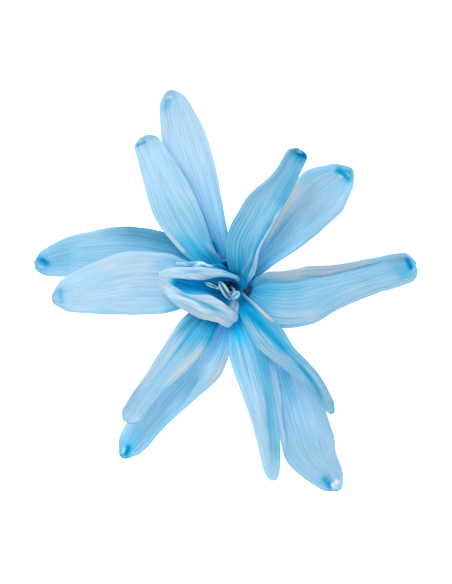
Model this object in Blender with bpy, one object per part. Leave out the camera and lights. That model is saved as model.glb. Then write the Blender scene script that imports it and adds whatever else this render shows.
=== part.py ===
"""Preserved tuberose flower, lying face up as it was picked.

A short funnel tube opens into six outer tepals, which grew in one piece with it. Six inner petals
rise from its throat and arch over them. Two small folded petals, the stamens and the pistil stand in
the heart.

Metres, +Z up. The origin is the middle of the tube's flat foot, on the surface that the flower lies
on. Seen from above, +X is to the right and +Y is up. Sizes below are in millimetres, and angles in
degrees: 0 along +X, anticlockwise from above.
"""

import math
from dataclasses import dataclass

import bmesh
import bpy
from mathutils import Vector

MM = 0.001

BLADE_THICKNESS = 0.6
TIGHTEST_ROLL = 0.5

# The tube, as a turned outline of (radius, height): its outside from the foot up, then its inside down
FOOT_RADIUS = 1.9
RIM_HEIGHT = 7.5
RIM_RADIUS = 3.8
THROAT_RADIUS = 3.15
TUBE_OUTSIDE = (
    (FOOT_RADIUS, 0.0), (2.9, 0.9), (3.3, 2.4), (3.55, 4.4), (3.65, 6.2), (RIM_RADIUS, RIM_HEIGHT),
)
TUBE_INSIDE = ((THROAT_RADIUS, RIM_HEIGHT), (3.08, 5.9), (3.02, 4.2), (2.8, 3.0), (2.0, 2.3))
TUBE_FLOOR = 2.1
TUBE_SIDES = 30

# Rows along a blade and columns across it
BLADE_ROWS = 17
BLADE_COLUMNS = 6
HEART_COLUMNS = 10
TIP_CROWDING = 1.3

# How far along a petal, from its lip at 0 to its tip at 1, its shape is given
SPINE_PLACES = (0.18, 0.45, 0.75)
WIDTH_PLACES = (0.0, 0.12, 0.3, 0.5, 0.7, 0.86, 1.0)
SHAPE_PLACES = (0.0, 0.5, 1.0)
HOOD_LENGTH = 1.5
TIP_WIDTH_LEFT = 0.35
HEADING_TURNS = 1.5
FLANGE_STARTS = 0.3
FLANGE_TURNS = 0.35
RIPPLE_TURNS = 9.0
RIPPLE_LEAN = 2.0
SPINE_STEP = 0.05
SECTION_STEPS = 6
NEARLY_FLAT = 1e-6

# The folded petal: how far round the heart its claw wraps each way, in degrees, and where along it the
# claw opens into the trough. Then what share of the trough is its floor and how far that rises, how
# much of its wall is straight, where its flaps are highest, and how far they droop
CLAW_WRAP = 75.0
TROUGH_FROM = -0.25
TROUGH_OVER = 0.3
FLOOR_SHARE = 0.8
FLOOR_RISE = 0.25
WALL_SHARE = 0.8
FLAP_CREST = 0.3
FLAP_DROOP = 0.3

# The stamens' ring and filaments, and the pistil's style
RING_BOTTOM = 2.55
RING_TOP = 3.1
RING_INSIDE = 0.52
RING_OUTSIDE = 0.95
FILAMENT_RADIUS = 0.18
FILAMENT_STAND = 0.68
FILAMENT_SINKS = 0.3
FILAMENT_BENDS_FROM = 6.5
STYLE_RADIUS = 0.18
STRAND_SIDES = 8
STRAND_ROWS = 9

PETAL_BLUE = (0.30, 0.62, 0.90, 1.0)
TUBE_BLUE = (0.24, 0.55, 0.84, 1.0)
HEART_BLUE = (0.55, 0.72, 0.84, 1.0)
ANTHER_CREAM = (0.66, 0.80, 0.80, 1.0)
PISTIL_CREAM = (0.60, 0.76, 0.80, 1.0)
PETAL_ROUGHNESS = 0.6
ANTHER_ROUGHNESS = 0.7


@dataclass(frozen=True)
class Whorl:
    """The ring of the throat that a set of petals rises from.

    Their feet stand at one radius and height in the tube, and they turn over its rim at another. The
    claw is half the width of each foot.
    """

    foot_radius: float
    foot_height: float
    lip_radius: float
    lip_height: float
    claw: float


@dataclass(frozen=True)
class Fold:
    """A petal folded into a trough, at the places of its half widths.

    How far the trough reaches to each side of its keel, and the height of its walls; the flaps that its
    margins turn out into; and how far its rows slant up from level, in degrees.
    """

    left_channel: tuple
    right_channel: tuple
    wall: tuple
    left_flap: tuple
    right_flap: tuple
    slant: tuple


@dataclass(frozen=True)
class Petal:
    """One petal. Angles across it (cup, flange) are given at its lip, its middle and its tip.

    Half widths are as seen from above. A bow shifts the midline to the left of the line from lip to tip.
    A petal with a whorl of its own stands nearer the middle, or further, than the rest of its set.
    """

    name: str
    root: float
    tip: tuple
    heights: tuple
    half_widths: tuple = ()
    bows: tuple = (0.0, 0.0, 0.0)
    cup: tuple = (30.0, 10.0, 20.0)
    flange: tuple = (0.0, 0.0, 0.0)
    flange_side: int = 1
    hood: float = 55.0
    round_tip: float = 2.0
    ripple: float = 0.12
    fold: Fold = None
    whorl: Whorl = None


OUTER = Whorl(3.5, 5.7, 3.62, 7.3, 1.35)
OUTER_NEAR = Whorl(3.35, 5.6, 2.95, 7.45, 1.35)
INNER = Whorl(2.4, 4.3, 2.5, 8.0, 0.52)
INNER_NEAR = Whorl(1.6, 4.6, 1.95, 8.2, 0.52)
HEART = Whorl(1.45, 4.6, 1.55, 8.3, 1.45)
HEART_EDGE = Whorl(1.45, 4.6, 1.72, 8.3, 0.3)

OUTER_TEPALS = (
    Petal("tepal_top", 106, (-7.6, 24.35, 1.2), (8.3, 6.9, 4.1),
          half_widths=(1.2, 1.45, 2.0, 2.6, 2.8, 2.3, 1.3), bows=(-0.05, 0.05, 0.1), round_tip=1.6,
          cup=(26, 6, 20)),
    Petal("tepal_top_right", 40, (14.9, 14.6, -0.65), (8.2, 6.6, 3.4),
          half_widths=(1.2, 1.5, 2.4, 3.05, 3.15, 2.35, 1.1), bows=(-0.05, 0.35, 0.45), cup=(26, 6, 20)),
    Petal("tepal_right", -14, (22.8, 2.65, 3.6), (9.0, 8.0, 6.0), whorl=OUTER_NEAR,
          half_widths=(1.5, 3.3, 3.9, 2.95, 2.4, 2.2, 1.9), bows=(-1.05, -0.9, -0.3), round_tip=1.0,
          cup=(20, -24, -30), flange=(50, 70, 60)),
    Petal("tepal_bottom_right", -62, (13.3, -25.3, -0.69), (8.2, 6.3, 3.4),
          half_widths=(1.2, 1.5, 2.3, 3.1, 3.5, 2.5, 1.3), bows=(0.65, 0.6, -0.85), cup=(26, 6, 20),
          flange=(30, 45, 10), flange_side=-1),
    Petal("tepal_bottom_left", -108, (-13.6, -21.1, 1.4), (8.2, 6.2, 3.6),
          half_widths=(1.4, 2.3, 3.1, 2.6, 2.1, 1.85, 1.1), bows=(0.9, 0.75, 0.15), cup=(26, 20, 30)),
    Petal("tepal_left", 144, (-24.3, 2.7, -0.68), (8.1, 6.6, 3.7),
          half_widths=(1.6, 2.9, 3.5, 3.7, 3.0, 2.1, 1.2), bows=(-0.75, -1.4, -1.2), cup=(26, -8, 20)),
)

INNER_PETALS = (
    Petal("petal_top_left", 128, (-10.75, 18.45, 6.0), (10.3, 10.2, 8.4),
          half_widths=(0.75, 1.45, 2.2, 2.65, 2.45, 1.95, 1.45), bows=(0.75, 0.8, 0.35), round_tip=0.9,
          cup=(32, 12, 12), flange=(30, 0, 0)),
    Petal("petal_top_right", 40, (8.5, 17.0, 8.6), (10.4, 11.1, 10.3), whorl=INNER_NEAR,
          half_widths=(1.2, 1.9, 2.2, 2.15, 1.55, 1.4, 1.25), bows=(1.35, 1.4, 0.25), round_tip=0.8,
          cup=(32, 50, 70), flange=(30, 0, 0), flange_side=-1),
    Petal("petal_right", 312, (12.4, -15.4, 7.4), (11.2, 11.4, 10.4), whorl=INNER_NEAR,
          half_widths=(0.75, 1.45, 1.95, 1.4, 1.1, 0.9, 0.75), bows=(-0.4, -0.05, 0.6),
          cup=(32, 50, 60), flange=(40, 0, 0)),
    Petal("petal_bottom", 269, (5.25, -23.85, 4.2), (9.9, 9.9, 7.8),
          half_widths=(0.7, 1.4, 2.2, 1.85, 1.45, 1.22, 0.9), bows=(0.35, 0.7, 0.65),
          cup=(30, -30, -45), hood=30),
    Petal("petal_bottom_left", 230, (-12.9, -16.6, 6.0), (9.8, 9.9, 8.0),
          half_widths=(0.7, 1.8, 2.25, 2.05, 1.55, 1.45, 1.25), bows=(-0.1, -0.05, -0.2), round_tip=1.2,
          cup=(32, 10, 20), flange=(0, 50, 20), flange_side=-1),
    Petal("petal_left", 174, (-22.0, -1.45, 4.2), (9.7, 9.3, 7.2),
          half_widths=(0.75, 2.5, 3.75, 3.9, 3.25, 2.4, 1.4), bows=(-0.45, -1.0, -0.7),
          cup=(30, -10, 20)),
)

HEART_FOLD = Fold(
    left_channel=(1.1, 1.7, 1.1, 1.0, 0.7, 0.45, 0.2),
    right_channel=(1.2, 1.6, 1.4, 1.05, 0.6, 0.3, 0.2),
    wall=(1.3, 3.0, 2.1, 1.3, 0.7, 0.15, 0.05),
    left_flap=(0.45, 2.7, 2.7, 1.95, 1.7, 1.2, 0.4),
    right_flap=(0.15, 0.55, 1.1, 1.35, 1.3, 1.1, 0.45),
    slant=(0.0, 32.0, 60.0, 80.0, 90.0, 90.0, 90.0),
)

HEART_PETALS = (
    Petal("heart_petal_folded", 206, (-8.9, 1.1, 12.2), (10.6, 11.5, 12.0), bows=(-0.05, 0.15, -0.05),
          hood=0, fold=HEART_FOLD),
    Petal("heart_petal_small", 101, (-6.7, 2.75, 11.3), (10.9, 11.2, 11.3),
          half_widths=(0.28, 0.42, 0.5, 0.52, 0.5, 0.5, 0.45), bows=(-0.3, -0.3, -0.1),
          round_tip=0.6, cup=(30, 20, 15), hood=0),
)

# Each stamen: its angle round the ring, its filament's bend, and its anther's two ends and radius
STAMENS = (
    (280, (-0.35, -0.65, 9.2), (-0.3, -1.3, 11.1), (-1.25, 0.3, 11.9), 0.36),
    (215, (-0.65, -0.5, 9.4), (-1.75, -0.1, 11.7), (-3.0, 0.35, 12.35), 0.24),
)
ANTHER_PLACES = (-0.12, 0.0, 0.3, 0.7, 1.0)
ANTHER_SHAPE = (0.5, 0.9, 1.0, 0.95, 0.45)

# The style's path up to the stigma, and the radii along each of the stigma's lobes
STYLE_PATH = ((0.0, 0.0, RING_BOTTOM), (0.0, 0.0, 6.0), (0.2, -0.15, 9.0))
STIGMA = (0.65, -0.8, 10.7)
LOBES = 3
FIRST_LOBE = 30.0
LOBE_RADII = (0.22, 0.3, 0.16)
LOBE_SPREAD = 0.42


def clear_scene():
    """Remove whatever the file held."""
    for old in list(bpy.data.objects):
        bpy.data.objects.remove(old, do_unlink=True)


def material(name, colour, roughness):
    """A plain Principled material."""
    made = bpy.data.materials.new(name)
    made.use_nodes = True
    shader = made.node_tree.nodes["Principled BSDF"]
    shader.inputs["Base Color"].default_value = colour
    shader.inputs["Roughness"].default_value = roughness
    shader.inputs["Metallic"].default_value = 0.0
    made.diffuse_color = colour
    return made


def link(name, mesh, finish):
    """Put a mesh in the scene as a named, smooth-shaded object."""
    mesh.materials.append(finish)
    mesh.shade_smooth()
    made = bpy.data.objects.new(name, mesh)
    bpy.context.scene.collection.objects.link(made)
    return made


def smooth_step(x):
    """0 below 0, 1 above 1, and a smooth rise between."""
    x = min(1.0, max(0.0, x))
    return x * x * (3 - 2 * x)


def through(values, places, x):
    """A smooth curve through values at rising places, read at x, that never swings past a value."""
    last = len(places) - 1
    x = min(places[-1], max(places[0], x))
    i = max(k for k in range(last) if places[k] <= x)
    span = places[i + 1] - places[i]
    t = (x - places[i]) / span

    def slope(k):
        if k in (0, last):
            low = min(k, last - 1)
            return (values[low + 1] - values[low]) / (places[low + 1] - places[low])
        before = (values[k] - values[k - 1]) / (places[k] - places[k - 1])
        after = (values[k + 1] - values[k]) / (places[k + 1] - places[k])
        return 2 * before * after / (before + after) if before * after > 0 else 0.0

    return (
        values[i] * (1 + 2 * t) * (1 - t) ** 2
        + slope(i) * span * t * (1 - t) ** 2
        + values[i + 1] * t * t * (3 - 2 * t)
        + slope(i + 1) * span * t * t * (t - 1)
    )


def around(radius, angle, height):
    """A point at that radius from the flower's axis, in millimetres."""
    turn = math.radians(angle)
    return Vector((radius * math.cos(turn), radius * math.sin(turn), height))


def spine_knots(petal, whorl):
    """The points that a petal's midline passes through: foot, lip, three along the blade, and tip."""
    tip = Vector(petal.tip)
    foot = around(whorl.foot_radius, petal.root, whorl.foot_height)
    lip = around(whorl.lip_radius, petal.root, whorl.lip_height)
    flat = Vector((tip.x - lip.x, tip.y - lip.y, 0.0))
    leftward = Vector((-flat.y, flat.x, 0.0)).normalized()
    knots = [foot, lip]
    for place, bow, height in zip(SPINE_PLACES, petal.bows, petal.heights):
        knot = lip + flat * place + leftward * bow
        knot.z = height
        knots.append(knot)
    return knots + [tip]


def spine(petal, whorl, count):
    """The midline as (points, headings, places). Places run from -1 at the foot, by 0 at the lip, to 1."""
    knots = spine_knots(petal, whorl)
    lengths = [0.0]
    for a, b in zip(knots, knots[1:]):
        lengths.append(lengths[-1] + (b - a).length)
    lip, whole = lengths[1], lengths[-1]

    def at(x):
        return Vector([through([k[axis] for k in knots], lengths, x) for axis in range(3)])

    stations = [whole * (1 - (1 - i / (count - 1)) ** TIP_CROWDING) for i in range(count)]
    points, headings, reaches = [], [], []
    previous = reach = 0.0
    for x in stations:
        along = at(min(whole, x + SPINE_STEP)) - at(max(0.0, x - SPINE_STEP))
        root = math.radians(petal.root)
        heading = root
        if x > lip:
            turn = math.remainder(math.atan2(along.y, along.x) - root, 2 * math.pi)
            heading += turn * smooth_step((x - lip) / HEADING_TURNS)
        if x <= whole - HOOD_LENGTH:
            points.append(at(x))
        else:
            curl = math.radians(petal.hood) * (x - whole + HOOD_LENGTH) / HOOD_LENGTH
            pitch = math.atan2(along.z, math.hypot(along.x, along.y)) + curl
            level = Vector((math.cos(heading), math.sin(heading), 0.0))
            onward = level * math.cos(pitch) + Vector((0.0, 0.0, math.sin(pitch)))
            points.append(points[-1] + onward * (x - previous))
        headings.append(heading)
        if x > lip:
            start = at(max(lip, previous))
            reach += (points[-1] - start).xy.length
        reaches.append(reach)
        previous = x
    places = [x / lip - 1 if x <= lip else r / reach for x, r in zip(stations, reaches)]
    return points, headings, places


def half_width(petal, whorl, place, reach):
    """Half the width of the blade at a place, rounded off at the tip."""
    if place <= 0:
        return whorl.claw + (petal.half_widths[0] - whorl.claw) * smooth_step(1 + place)
    width = through(petal.half_widths, WIDTH_PLACES, place)
    to_tip = (1 - place) * reach
    if to_tip < petal.round_tip:
        share = 1 - to_tip / petal.round_tip
        width *= max(TIP_WIDTH_LEFT, math.sqrt(1 - share * share))
    return width


def section_slope(petal, place, u):
    """The slope across the blade, in radians, at u from -1 at its right margin to 1 at its left one."""
    along = max(0.0, place)
    cup = math.radians(through(petal.cup, SHAPE_PLACES, along)) * (0.5 + 0.5 * smooth_step(1 + place))
    turn = smooth_step((u * petal.flange_side - FLANGE_STARTS) / FLANGE_TURNS)
    flange = math.radians(through(petal.flange, SHAPE_PLACES, along)) * smooth_step(1 + 2 * place)
    return cup * u + petal.flange_side * flange * turn


def section(petal, place, half, columns):
    """Points (sideways, up) across the blade, from its right margin to its left one, about its midline."""
    sides = []
    steps = columns // 2 * SECTION_STEPS
    for direction in (-1, 1):
        slopes = [section_slope(petal, place, (k + 0.5) / steps * direction) * direction for k in range(steps)]
        sharpest = max(abs(b - a) for a, b in zip(slopes, slopes[1:])) * steps
        ease = min(1.0, half / TIGHTEST_ROLL / max(sharpest, NEARLY_FLAT))
        points = [(0.0, 0.0)]
        across = up = 0.0
        for k, slope in enumerate(slopes):
            across += math.cos(slope * ease)
            up += math.sin(slope * ease)
            if (k + 1) % SECTION_STEPS == 0:
                points.append((across * direction, up))
        sides.append(points)
    widest = max(abs(point[0]) for points in sides for point in points)
    row = sides[0][:0:-1] + sides[1]
    return [(across * half / widest, up * half / widest) for across, up in row]


def fold_section(petal, whorl, place, columns):
    """Points (sideways, up) across the folded petal: its claw wraps round, and then it is a trough."""
    fold = petal.fold
    wall = through(fold.wall, WIDTH_PLACES, place)
    share = smooth_step((place - TROUGH_FROM) / TROUGH_OVER)
    half = columns // 2
    sides = []
    for direction, channels, flaps in (
        (-1, fold.right_channel, fold.right_flap), (1, fold.left_channel, fold.left_flap),
    ):
        channel = through(channels, WIDTH_PLACES, place)
        flap = through(flaps, WIDTH_PLACES, place)
        knots = (
            (0.0, 0.0), (channel * FLOOR_SHARE, wall * FLOOR_RISE), (channel, wall * WALL_SHARE),
            (channel + flap * FLAP_CREST, wall), (channel + flap, wall - FLAP_DROOP * flap),
        )
        bend = bent([Vector((across, up, 0.0)) for across, up in knots], half + 1)
        points = []
        for k, point in enumerate(bend):
            turn = math.radians(CLAW_WRAP) * k / half
            across = point.x * share + whorl.claw * math.sin(turn) * (1 - share)
            up = point.y * share + whorl.claw * (1 - math.cos(turn)) * (1 - share)
            points.append((across * direction, up))
        sides.append(points)
    return sides[0][:0:-1] + sides[1]


def blade(petal, whorl, columns=BLADE_COLUMNS, rows=BLADE_ROWS):
    """A petal's middle surface as a mesh of triangles, so that both faces of the blade are split alike."""
    points, headings, places = spine(petal, whorl, rows)
    reach = sum((b - a).xy.length for a, b, place in zip(points, points[1:], places[1:]) if place > 0)
    grid = bmesh.new()
    net = []
    for i, (point, heading, place) in enumerate(zip(points, headings, places)):
        along = (points[min(i + 1, rows - 1)] - points[max(i - 1, 0)]).normalized()
        left = Vector((-math.sin(heading), math.cos(heading), 0.0))
        left = (left - along * left.dot(along)).normalized()
        face = along.cross(left)
        if petal.fold:
            slant = math.radians(through(petal.fold.slant, WIDTH_PLACES, place))
            inward = Vector((-math.cos(heading), -math.sin(heading), 0.0))
            face = inward * math.cos(slant) + Vector((0.0, 0.0, math.sin(slant)))
            across_row = fold_section(petal, whorl, place, columns)
        else:
            across_row = section(petal, place, half_width(petal, whorl, place, reach), columns)
        row = []
        for j, (across, up) in enumerate(across_row):
            u = 2 * j / columns - 1
            wave = math.sin(RIPPLE_TURNS * place + RIPPLE_LEAN * u + petal.root)
            up += wave * petal.ripple * abs(u) ** 3 * smooth_step(3 * place) * min(1.0, abs(across))
            row.append(grid.verts.new((point + left * across + face * up) * MM))
        net.append(row)
    for lower, upper in zip(net, net[1:]):
        for j in range(columns):
            a, b, c, d = lower[j], lower[j + 1], upper[j + 1], upper[j]
            if j < columns / 2:
                grid.faces.new((b, a, d))
                grid.faces.new((b, d, c))
            else:
                grid.faces.new((b, a, c))
                grid.faces.new((c, a, d))
    mesh = bpy.data.meshes.new(petal.name)
    grid.to_mesh(mesh)
    grid.free()
    return mesh


def petal_object(petal, whorl, finish, columns=BLADE_COLUMNS):
    """One petal as a blade of even thickness, from its own whorl or its set's."""
    made = link(petal.name, blade(petal, petal.whorl or whorl, columns), finish)
    thickness = made.modifiers.new("Blade thickness", "SOLIDIFY")
    thickness.thickness = BLADE_THICKNESS * MM
    thickness.offset = 0.0
    thickness.use_rim = True
    return made


def strand(name, path, radii, sides, finish):
    """A round rod that follows a path of points, with a radius at each, closed at both ends."""
    shape = bmesh.new()
    path = [Vector(point) for point in path]
    rings = []
    for i, (point, radius) in enumerate(zip(path, radii)):
        along = (path[min(i + 1, len(path) - 1)] - path[max(i - 1, 0)]).normalized()
        if not rings:
            across = along.orthogonal()
        across = (across - along * across.dot(along)).normalized()
        third = along.cross(across)
        ring = []
        for k in range(sides):
            turn = 2 * math.pi * k / sides
            outward = across * math.cos(turn) + third * math.sin(turn)
            ring.append(shape.verts.new((point + outward * radius) * MM))
        rings.append(ring)
    for low, high in zip(rings, rings[1:]):
        for k in range(sides):
            n = (k + 1) % sides
            shape.faces.new((low[k], low[n], high[n], high[k]))
    shape.faces.new(rings[0][::-1])
    shape.faces.new(rings[-1])
    bmesh.ops.triangulate(shape, faces=shape.faces)
    bmesh.ops.recalc_face_normals(shape, faces=shape.faces)
    mesh = bpy.data.meshes.new(name)
    shape.to_mesh(mesh)
    shape.free()
    return link(name, mesh, finish)


def bent(points, count=STRAND_ROWS):
    """A smooth path through a few points."""
    points = [Vector(point) for point in points]
    lengths = [0.0]
    for a, b in zip(points, points[1:]):
        lengths.append(lengths[-1] + (b - a).length)
    path = []
    for i in range(count):
        x = lengths[-1] * i / (count - 1)
        path.append(Vector([through([p[axis] for p in points], lengths, x) for axis in range(3)]))
    return path


def turned(name, outline, sides, finish):
    """A solid of revolution about the flower's axis, from an outline that closes on it or round a ring."""
    shape = bmesh.new()
    rings = []
    for radius, height in outline:
        if radius == 0:
            rings.append([shape.verts.new((0, 0, height * MM))])
        else:
            points = [around(radius, 360 * k / sides, height) for k in range(sides)]
            rings.append([shape.verts.new(point * MM) for point in points])
    if outline[0][0] > 0:
        rings.append(rings[0])
    for low, high in zip(rings, rings[1:]):
        for k in range(sides):
            n = (k + 1) % sides
            if len(low) == 1:
                shape.faces.new((low[0], high[n], high[k]))
            elif len(high) == 1:
                shape.faces.new((low[k], low[n], high[0]))
            else:
                shape.faces.new((low[k], low[n], high[n], high[k]))
    bmesh.ops.recalc_face_normals(shape, faces=shape.faces)
    bmesh.ops.triangulate(shape, faces=[f for f in shape.faces if len(f.verts) > 3])
    mesh = bpy.data.meshes.new(name)
    shape.to_mesh(mesh)
    shape.free()
    return link(name, mesh, finish)


def apply_modifiers(made):
    """Keep the object's evaluated mesh as its own."""
    graph = bpy.context.evaluated_depsgraph_get()
    mesh = bpy.data.meshes.new_from_object(made.evaluated_get(graph))
    made.modifiers.clear()
    made.data = mesh


def fuse(base, pieces):
    """Join pieces to the base in one Boolean union, and remove them."""
    group = bpy.data.collections.new(base.name + " pieces")
    bpy.context.scene.collection.children.link(group)
    for piece in pieces:
        bpy.context.scene.collection.objects.unlink(piece)
        group.objects.link(piece)
    union = base.modifiers.new("Grown together", "BOOLEAN")
    union.operation = "UNION"
    union.operand_type = "COLLECTION"
    union.collection = group
    union.solver = "MANIFOLD"
    bpy.context.view_layer.update()
    apply_modifiers(base)
    for piece in pieces:
        bpy.data.objects.remove(piece, do_unlink=True)
    bpy.data.collections.remove(group)
    return base


def perianth(finish):
    """The tube and the six outer tepals that it opens into, as one solid. Three tips press on the surface."""
    outline = ((0.0, 0.0),) + TUBE_OUTSIDE + TUBE_INSIDE + ((0.0, TUBE_FLOOR),)
    tube = turned("perianth", outline, TUBE_SIDES, finish)
    whole = fuse(tube, [petal_object(tepal, OUTER, finish) for tepal in OUTER_TEPALS])
    for vertex in whole.data.vertices:
        vertex.co.z = max(0.0, vertex.co.z)
    return whole


def stamens(finish):
    """The filaments with their anthers, standing on one small ring."""
    wall = (RING_INSIDE, RING_OUTSIDE)
    outline = [(radius, RING_BOTTOM) for radius in wall] + [(radius, RING_TOP) for radius in wall[::-1]]
    ring = turned("stamens", outline, TUBE_SIDES, finish)
    pieces = []
    for angle, bend, low, high, radius in STAMENS:
        foot = around(FILAMENT_STAND, angle, RING_TOP - FILAMENT_SINKS)
        middle = around(FILAMENT_STAND, angle, FILAMENT_BENDS_FROM)
        path = bent((foot, middle, bend, low))
        pieces.append(strand("filament", path, [FILAMENT_RADIUS] * STRAND_ROWS, STRAND_SIDES, finish))
        anther = [Vector(low).lerp(Vector(high), place) for place in ANTHER_PLACES]
        radii = [radius * share for share in ANTHER_SHAPE]
        pieces.append(strand("anther", anther, radii, STRAND_SIDES, finish))
    return fuse(ring, pieces)


def pistil(finish):
    """The style and its lobed stigma."""
    top = Vector(STIGMA)
    path = bent(STYLE_PATH + (STIGMA,))
    style = strand("pistil", path, [STYLE_RADIUS] * STRAND_ROWS, STRAND_SIDES, finish)
    pieces = []
    for k in range(LOBES):
        outward = around(LOBE_SPREAD, 360 * k / LOBES + FIRST_LOBE, 0.0)
        up = Vector((0.0, 0.0, LOBE_SPREAD))
        lobe = (top - up, top + outward / 2, top + outward + up / 2)
        pieces.append(strand("lobe", lobe, LOBE_RADII, STRAND_SIDES, finish))
    return fuse(style, pieces)


def main():
    """Build every piece of the flower, each with a material of its own."""
    clear_scene()
    perianth(material("perianth", TUBE_BLUE, PETAL_ROUGHNESS))
    for petal in INNER_PETALS:
        petal_object(petal, INNER, material(petal.name, PETAL_BLUE, PETAL_ROUGHNESS))
    folded, small = HEART_PETALS
    petal_object(folded, HEART, material(folded.name, HEART_BLUE, PETAL_ROUGHNESS), HEART_COLUMNS)
    petal_object(small, HEART_EDGE, material(small.name, HEART_BLUE, PETAL_ROUGHNESS))
    stamens(material("stamens", ANTHER_CREAM, ANTHER_ROUGHNESS))
    pistil(material("pistil", PISTIL_CREAM, PETAL_ROUGHNESS))


main()
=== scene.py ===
"""Preserved tuberose flower: its looks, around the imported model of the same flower.

Each petal, the tube, the stamens and the pistil are modelled again with their pleats, hooded tips and dye,
and stand exactly where the plain solids are. Sizes are in millimetres unless a name says otherwise, and
angles in degrees: 0 along +X, anticlockwise from above. "Place" runs along a petal, from -1 at its foot by
0 at the throat's lip to 1 at its tip, and "side" across it, from -1 at its right margin to 1 at its left.
"""

import logging
import math
from dataclasses import dataclass
from enum import Enum

import bpy
import numpy as np
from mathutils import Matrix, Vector


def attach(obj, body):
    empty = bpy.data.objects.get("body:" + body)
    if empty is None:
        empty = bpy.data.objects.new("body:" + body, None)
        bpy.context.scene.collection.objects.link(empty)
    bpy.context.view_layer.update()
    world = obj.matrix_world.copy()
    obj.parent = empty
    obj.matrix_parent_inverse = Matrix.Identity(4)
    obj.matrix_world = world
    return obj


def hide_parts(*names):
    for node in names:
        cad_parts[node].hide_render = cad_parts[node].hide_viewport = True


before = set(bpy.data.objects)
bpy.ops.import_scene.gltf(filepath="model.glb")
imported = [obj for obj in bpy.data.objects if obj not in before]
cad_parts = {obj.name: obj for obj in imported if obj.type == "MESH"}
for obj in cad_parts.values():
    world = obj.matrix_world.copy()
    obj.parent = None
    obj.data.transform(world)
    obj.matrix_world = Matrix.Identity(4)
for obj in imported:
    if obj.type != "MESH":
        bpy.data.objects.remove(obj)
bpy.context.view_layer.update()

MM = 0.001
ROOT = "root"
CAMERA_HEIGHT = 600.0
log = logging.getLogger("tuberose")

# The net of a petal, and the places along it that its sizes are given for
ROWS = 124
COLUMNS = 120
HEART_ROWS = 190
HEART_COLUMNS = 170
TIP_CROWDING = 1.3
SPINE_STEP = 0.05
SPINE_PLACES = (0.18, 0.45, 0.75)
WIDTH_PLACES = (0.0, 0.12, 0.3, 0.5, 0.7, 0.86, 1.0)
SHAPE_PLACES = (0.0, 0.5, 1.0)

# The form that all petals share
HOOD_LENGTH = 1.5
HEADING_TURNS = 1.5
FLANGE_STARTS = 0.3
FLANGE_TURNS = 0.35
CLAW_CUP = 0.5
TIP_WIDTH_LEFT = 0.22
TIGHTEST_ROLL = 0.32
PETAL_THICKNESS = 0.3
MARGIN_THICKNESS_SHARE = 0.3
MARGIN_THINS = 0.12

# How the margins ripple and fray, more towards the edge and less near the throat
RIPPLE_TURNS = 9.0
RIPPLE_LEAN = 2.0
RIPPLE_TO_EDGE = 3
RIPPLE_GROWS = 3
FRAY_SEED = 5
FRAY_LENGTH = 1.3
FRAY_SIDES_APART = 3.0
FRAY_TO_EDGE = 4
FRAY_GROWS = 6

# How a mark on a petal ends
LINE_SAMPLES = 48
SHORT_MARK = 5.0
MARK_TAPER = 0.3
STRIP_TAPER = 0.2
STRIP_RISES = 0.5

# Pods and rods: a pod's form in shares of half its width, and what its length is drawn out by
POD_SEGMENTS = 48
POD_RINGS = 32
POD_EXTRA_LENGTH = 0.1
POD_BROAD = 1.08
POD_FLAT = 0.8
POD_TAPER = 0.35
POD_BLUNTNESS = 6
GROOVE_WIDTH = 0.3
BACK_GROOVE = 0.2
ROD_POINTS = 28
ROD_ROUNDNESS = 3


class Margin(Enum):
    """A margin of a petal, or a side of a line: left or right on the way from foot to tip."""

    LEFT = 1
    RIGHT = -1


def smooth(x: np.ndarray | float) -> np.ndarray:
    """0 below 0, 1 above 1, and a smooth rise between."""
    x = np.clip(x, 0.0, 1.0)
    return x * x * (3 - 2 * x)


def through(values: tuple, places: tuple, x: np.ndarray) -> np.ndarray:
    """Read a smooth curve that never swings past its values.

    Args:
        values: What the curve passes through.
        places: Where it does, rising.
        x: Where to read it.

    Returns:
        The curve at x.
    """
    values = np.asarray(values, float)
    places = np.asarray(places, float)
    x = np.clip(x, places[0], places[-1])
    steps = np.diff(values) / np.diff(places)
    slopes = np.zeros_like(values)
    slopes[0], slopes[-1] = steps[0], steps[-1]
    before, after = steps[:-1], steps[1:]
    rising = before * after > 0
    slopes[1:-1] = np.where(rising, 2 * before * after / np.where(rising, before + after, 1.0), 0.0)
    i = np.clip(np.searchsorted(places, x, side="right") - 1, 0, len(places) - 2)
    span = places[i + 1] - places[i]
    t = (x - places[i]) / span
    return (
        values[i] * (1 + 2 * t) * (1 - t) ** 2
        + slopes[i] * span * t * (1 - t) ** 2
        + values[i + 1] * t * t * (3 - 2 * t)
        + slopes[i + 1] * span * t * t * (t - 1)
    )


def unit(vectors: np.ndarray) -> np.ndarray:
    """The same vectors, one long."""
    return vectors / np.maximum(np.linalg.norm(vectors, axis=-1, keepdims=True), 1e-12)


def distances(knots: np.ndarray) -> np.ndarray:
    """How far each point of a line lies along it, straight from point to point."""
    return np.concatenate(((0.0,), np.cumsum(np.linalg.norm(np.diff(knots, axis=0), axis=1))))


def course(knots: np.ndarray, lengths: np.ndarray, x: np.ndarray) -> np.ndarray:
    """Read a smooth line through points.

    Args:
        knots: The points, one in each row.
        lengths: How far along the line each of them lies.
        x: How far along it to read it.

    Returns:
        A point for each x.
    """
    return np.stack([through(knots[:, axis], lengths, x) for axis in range(knots.shape[1])], axis=1)


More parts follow.
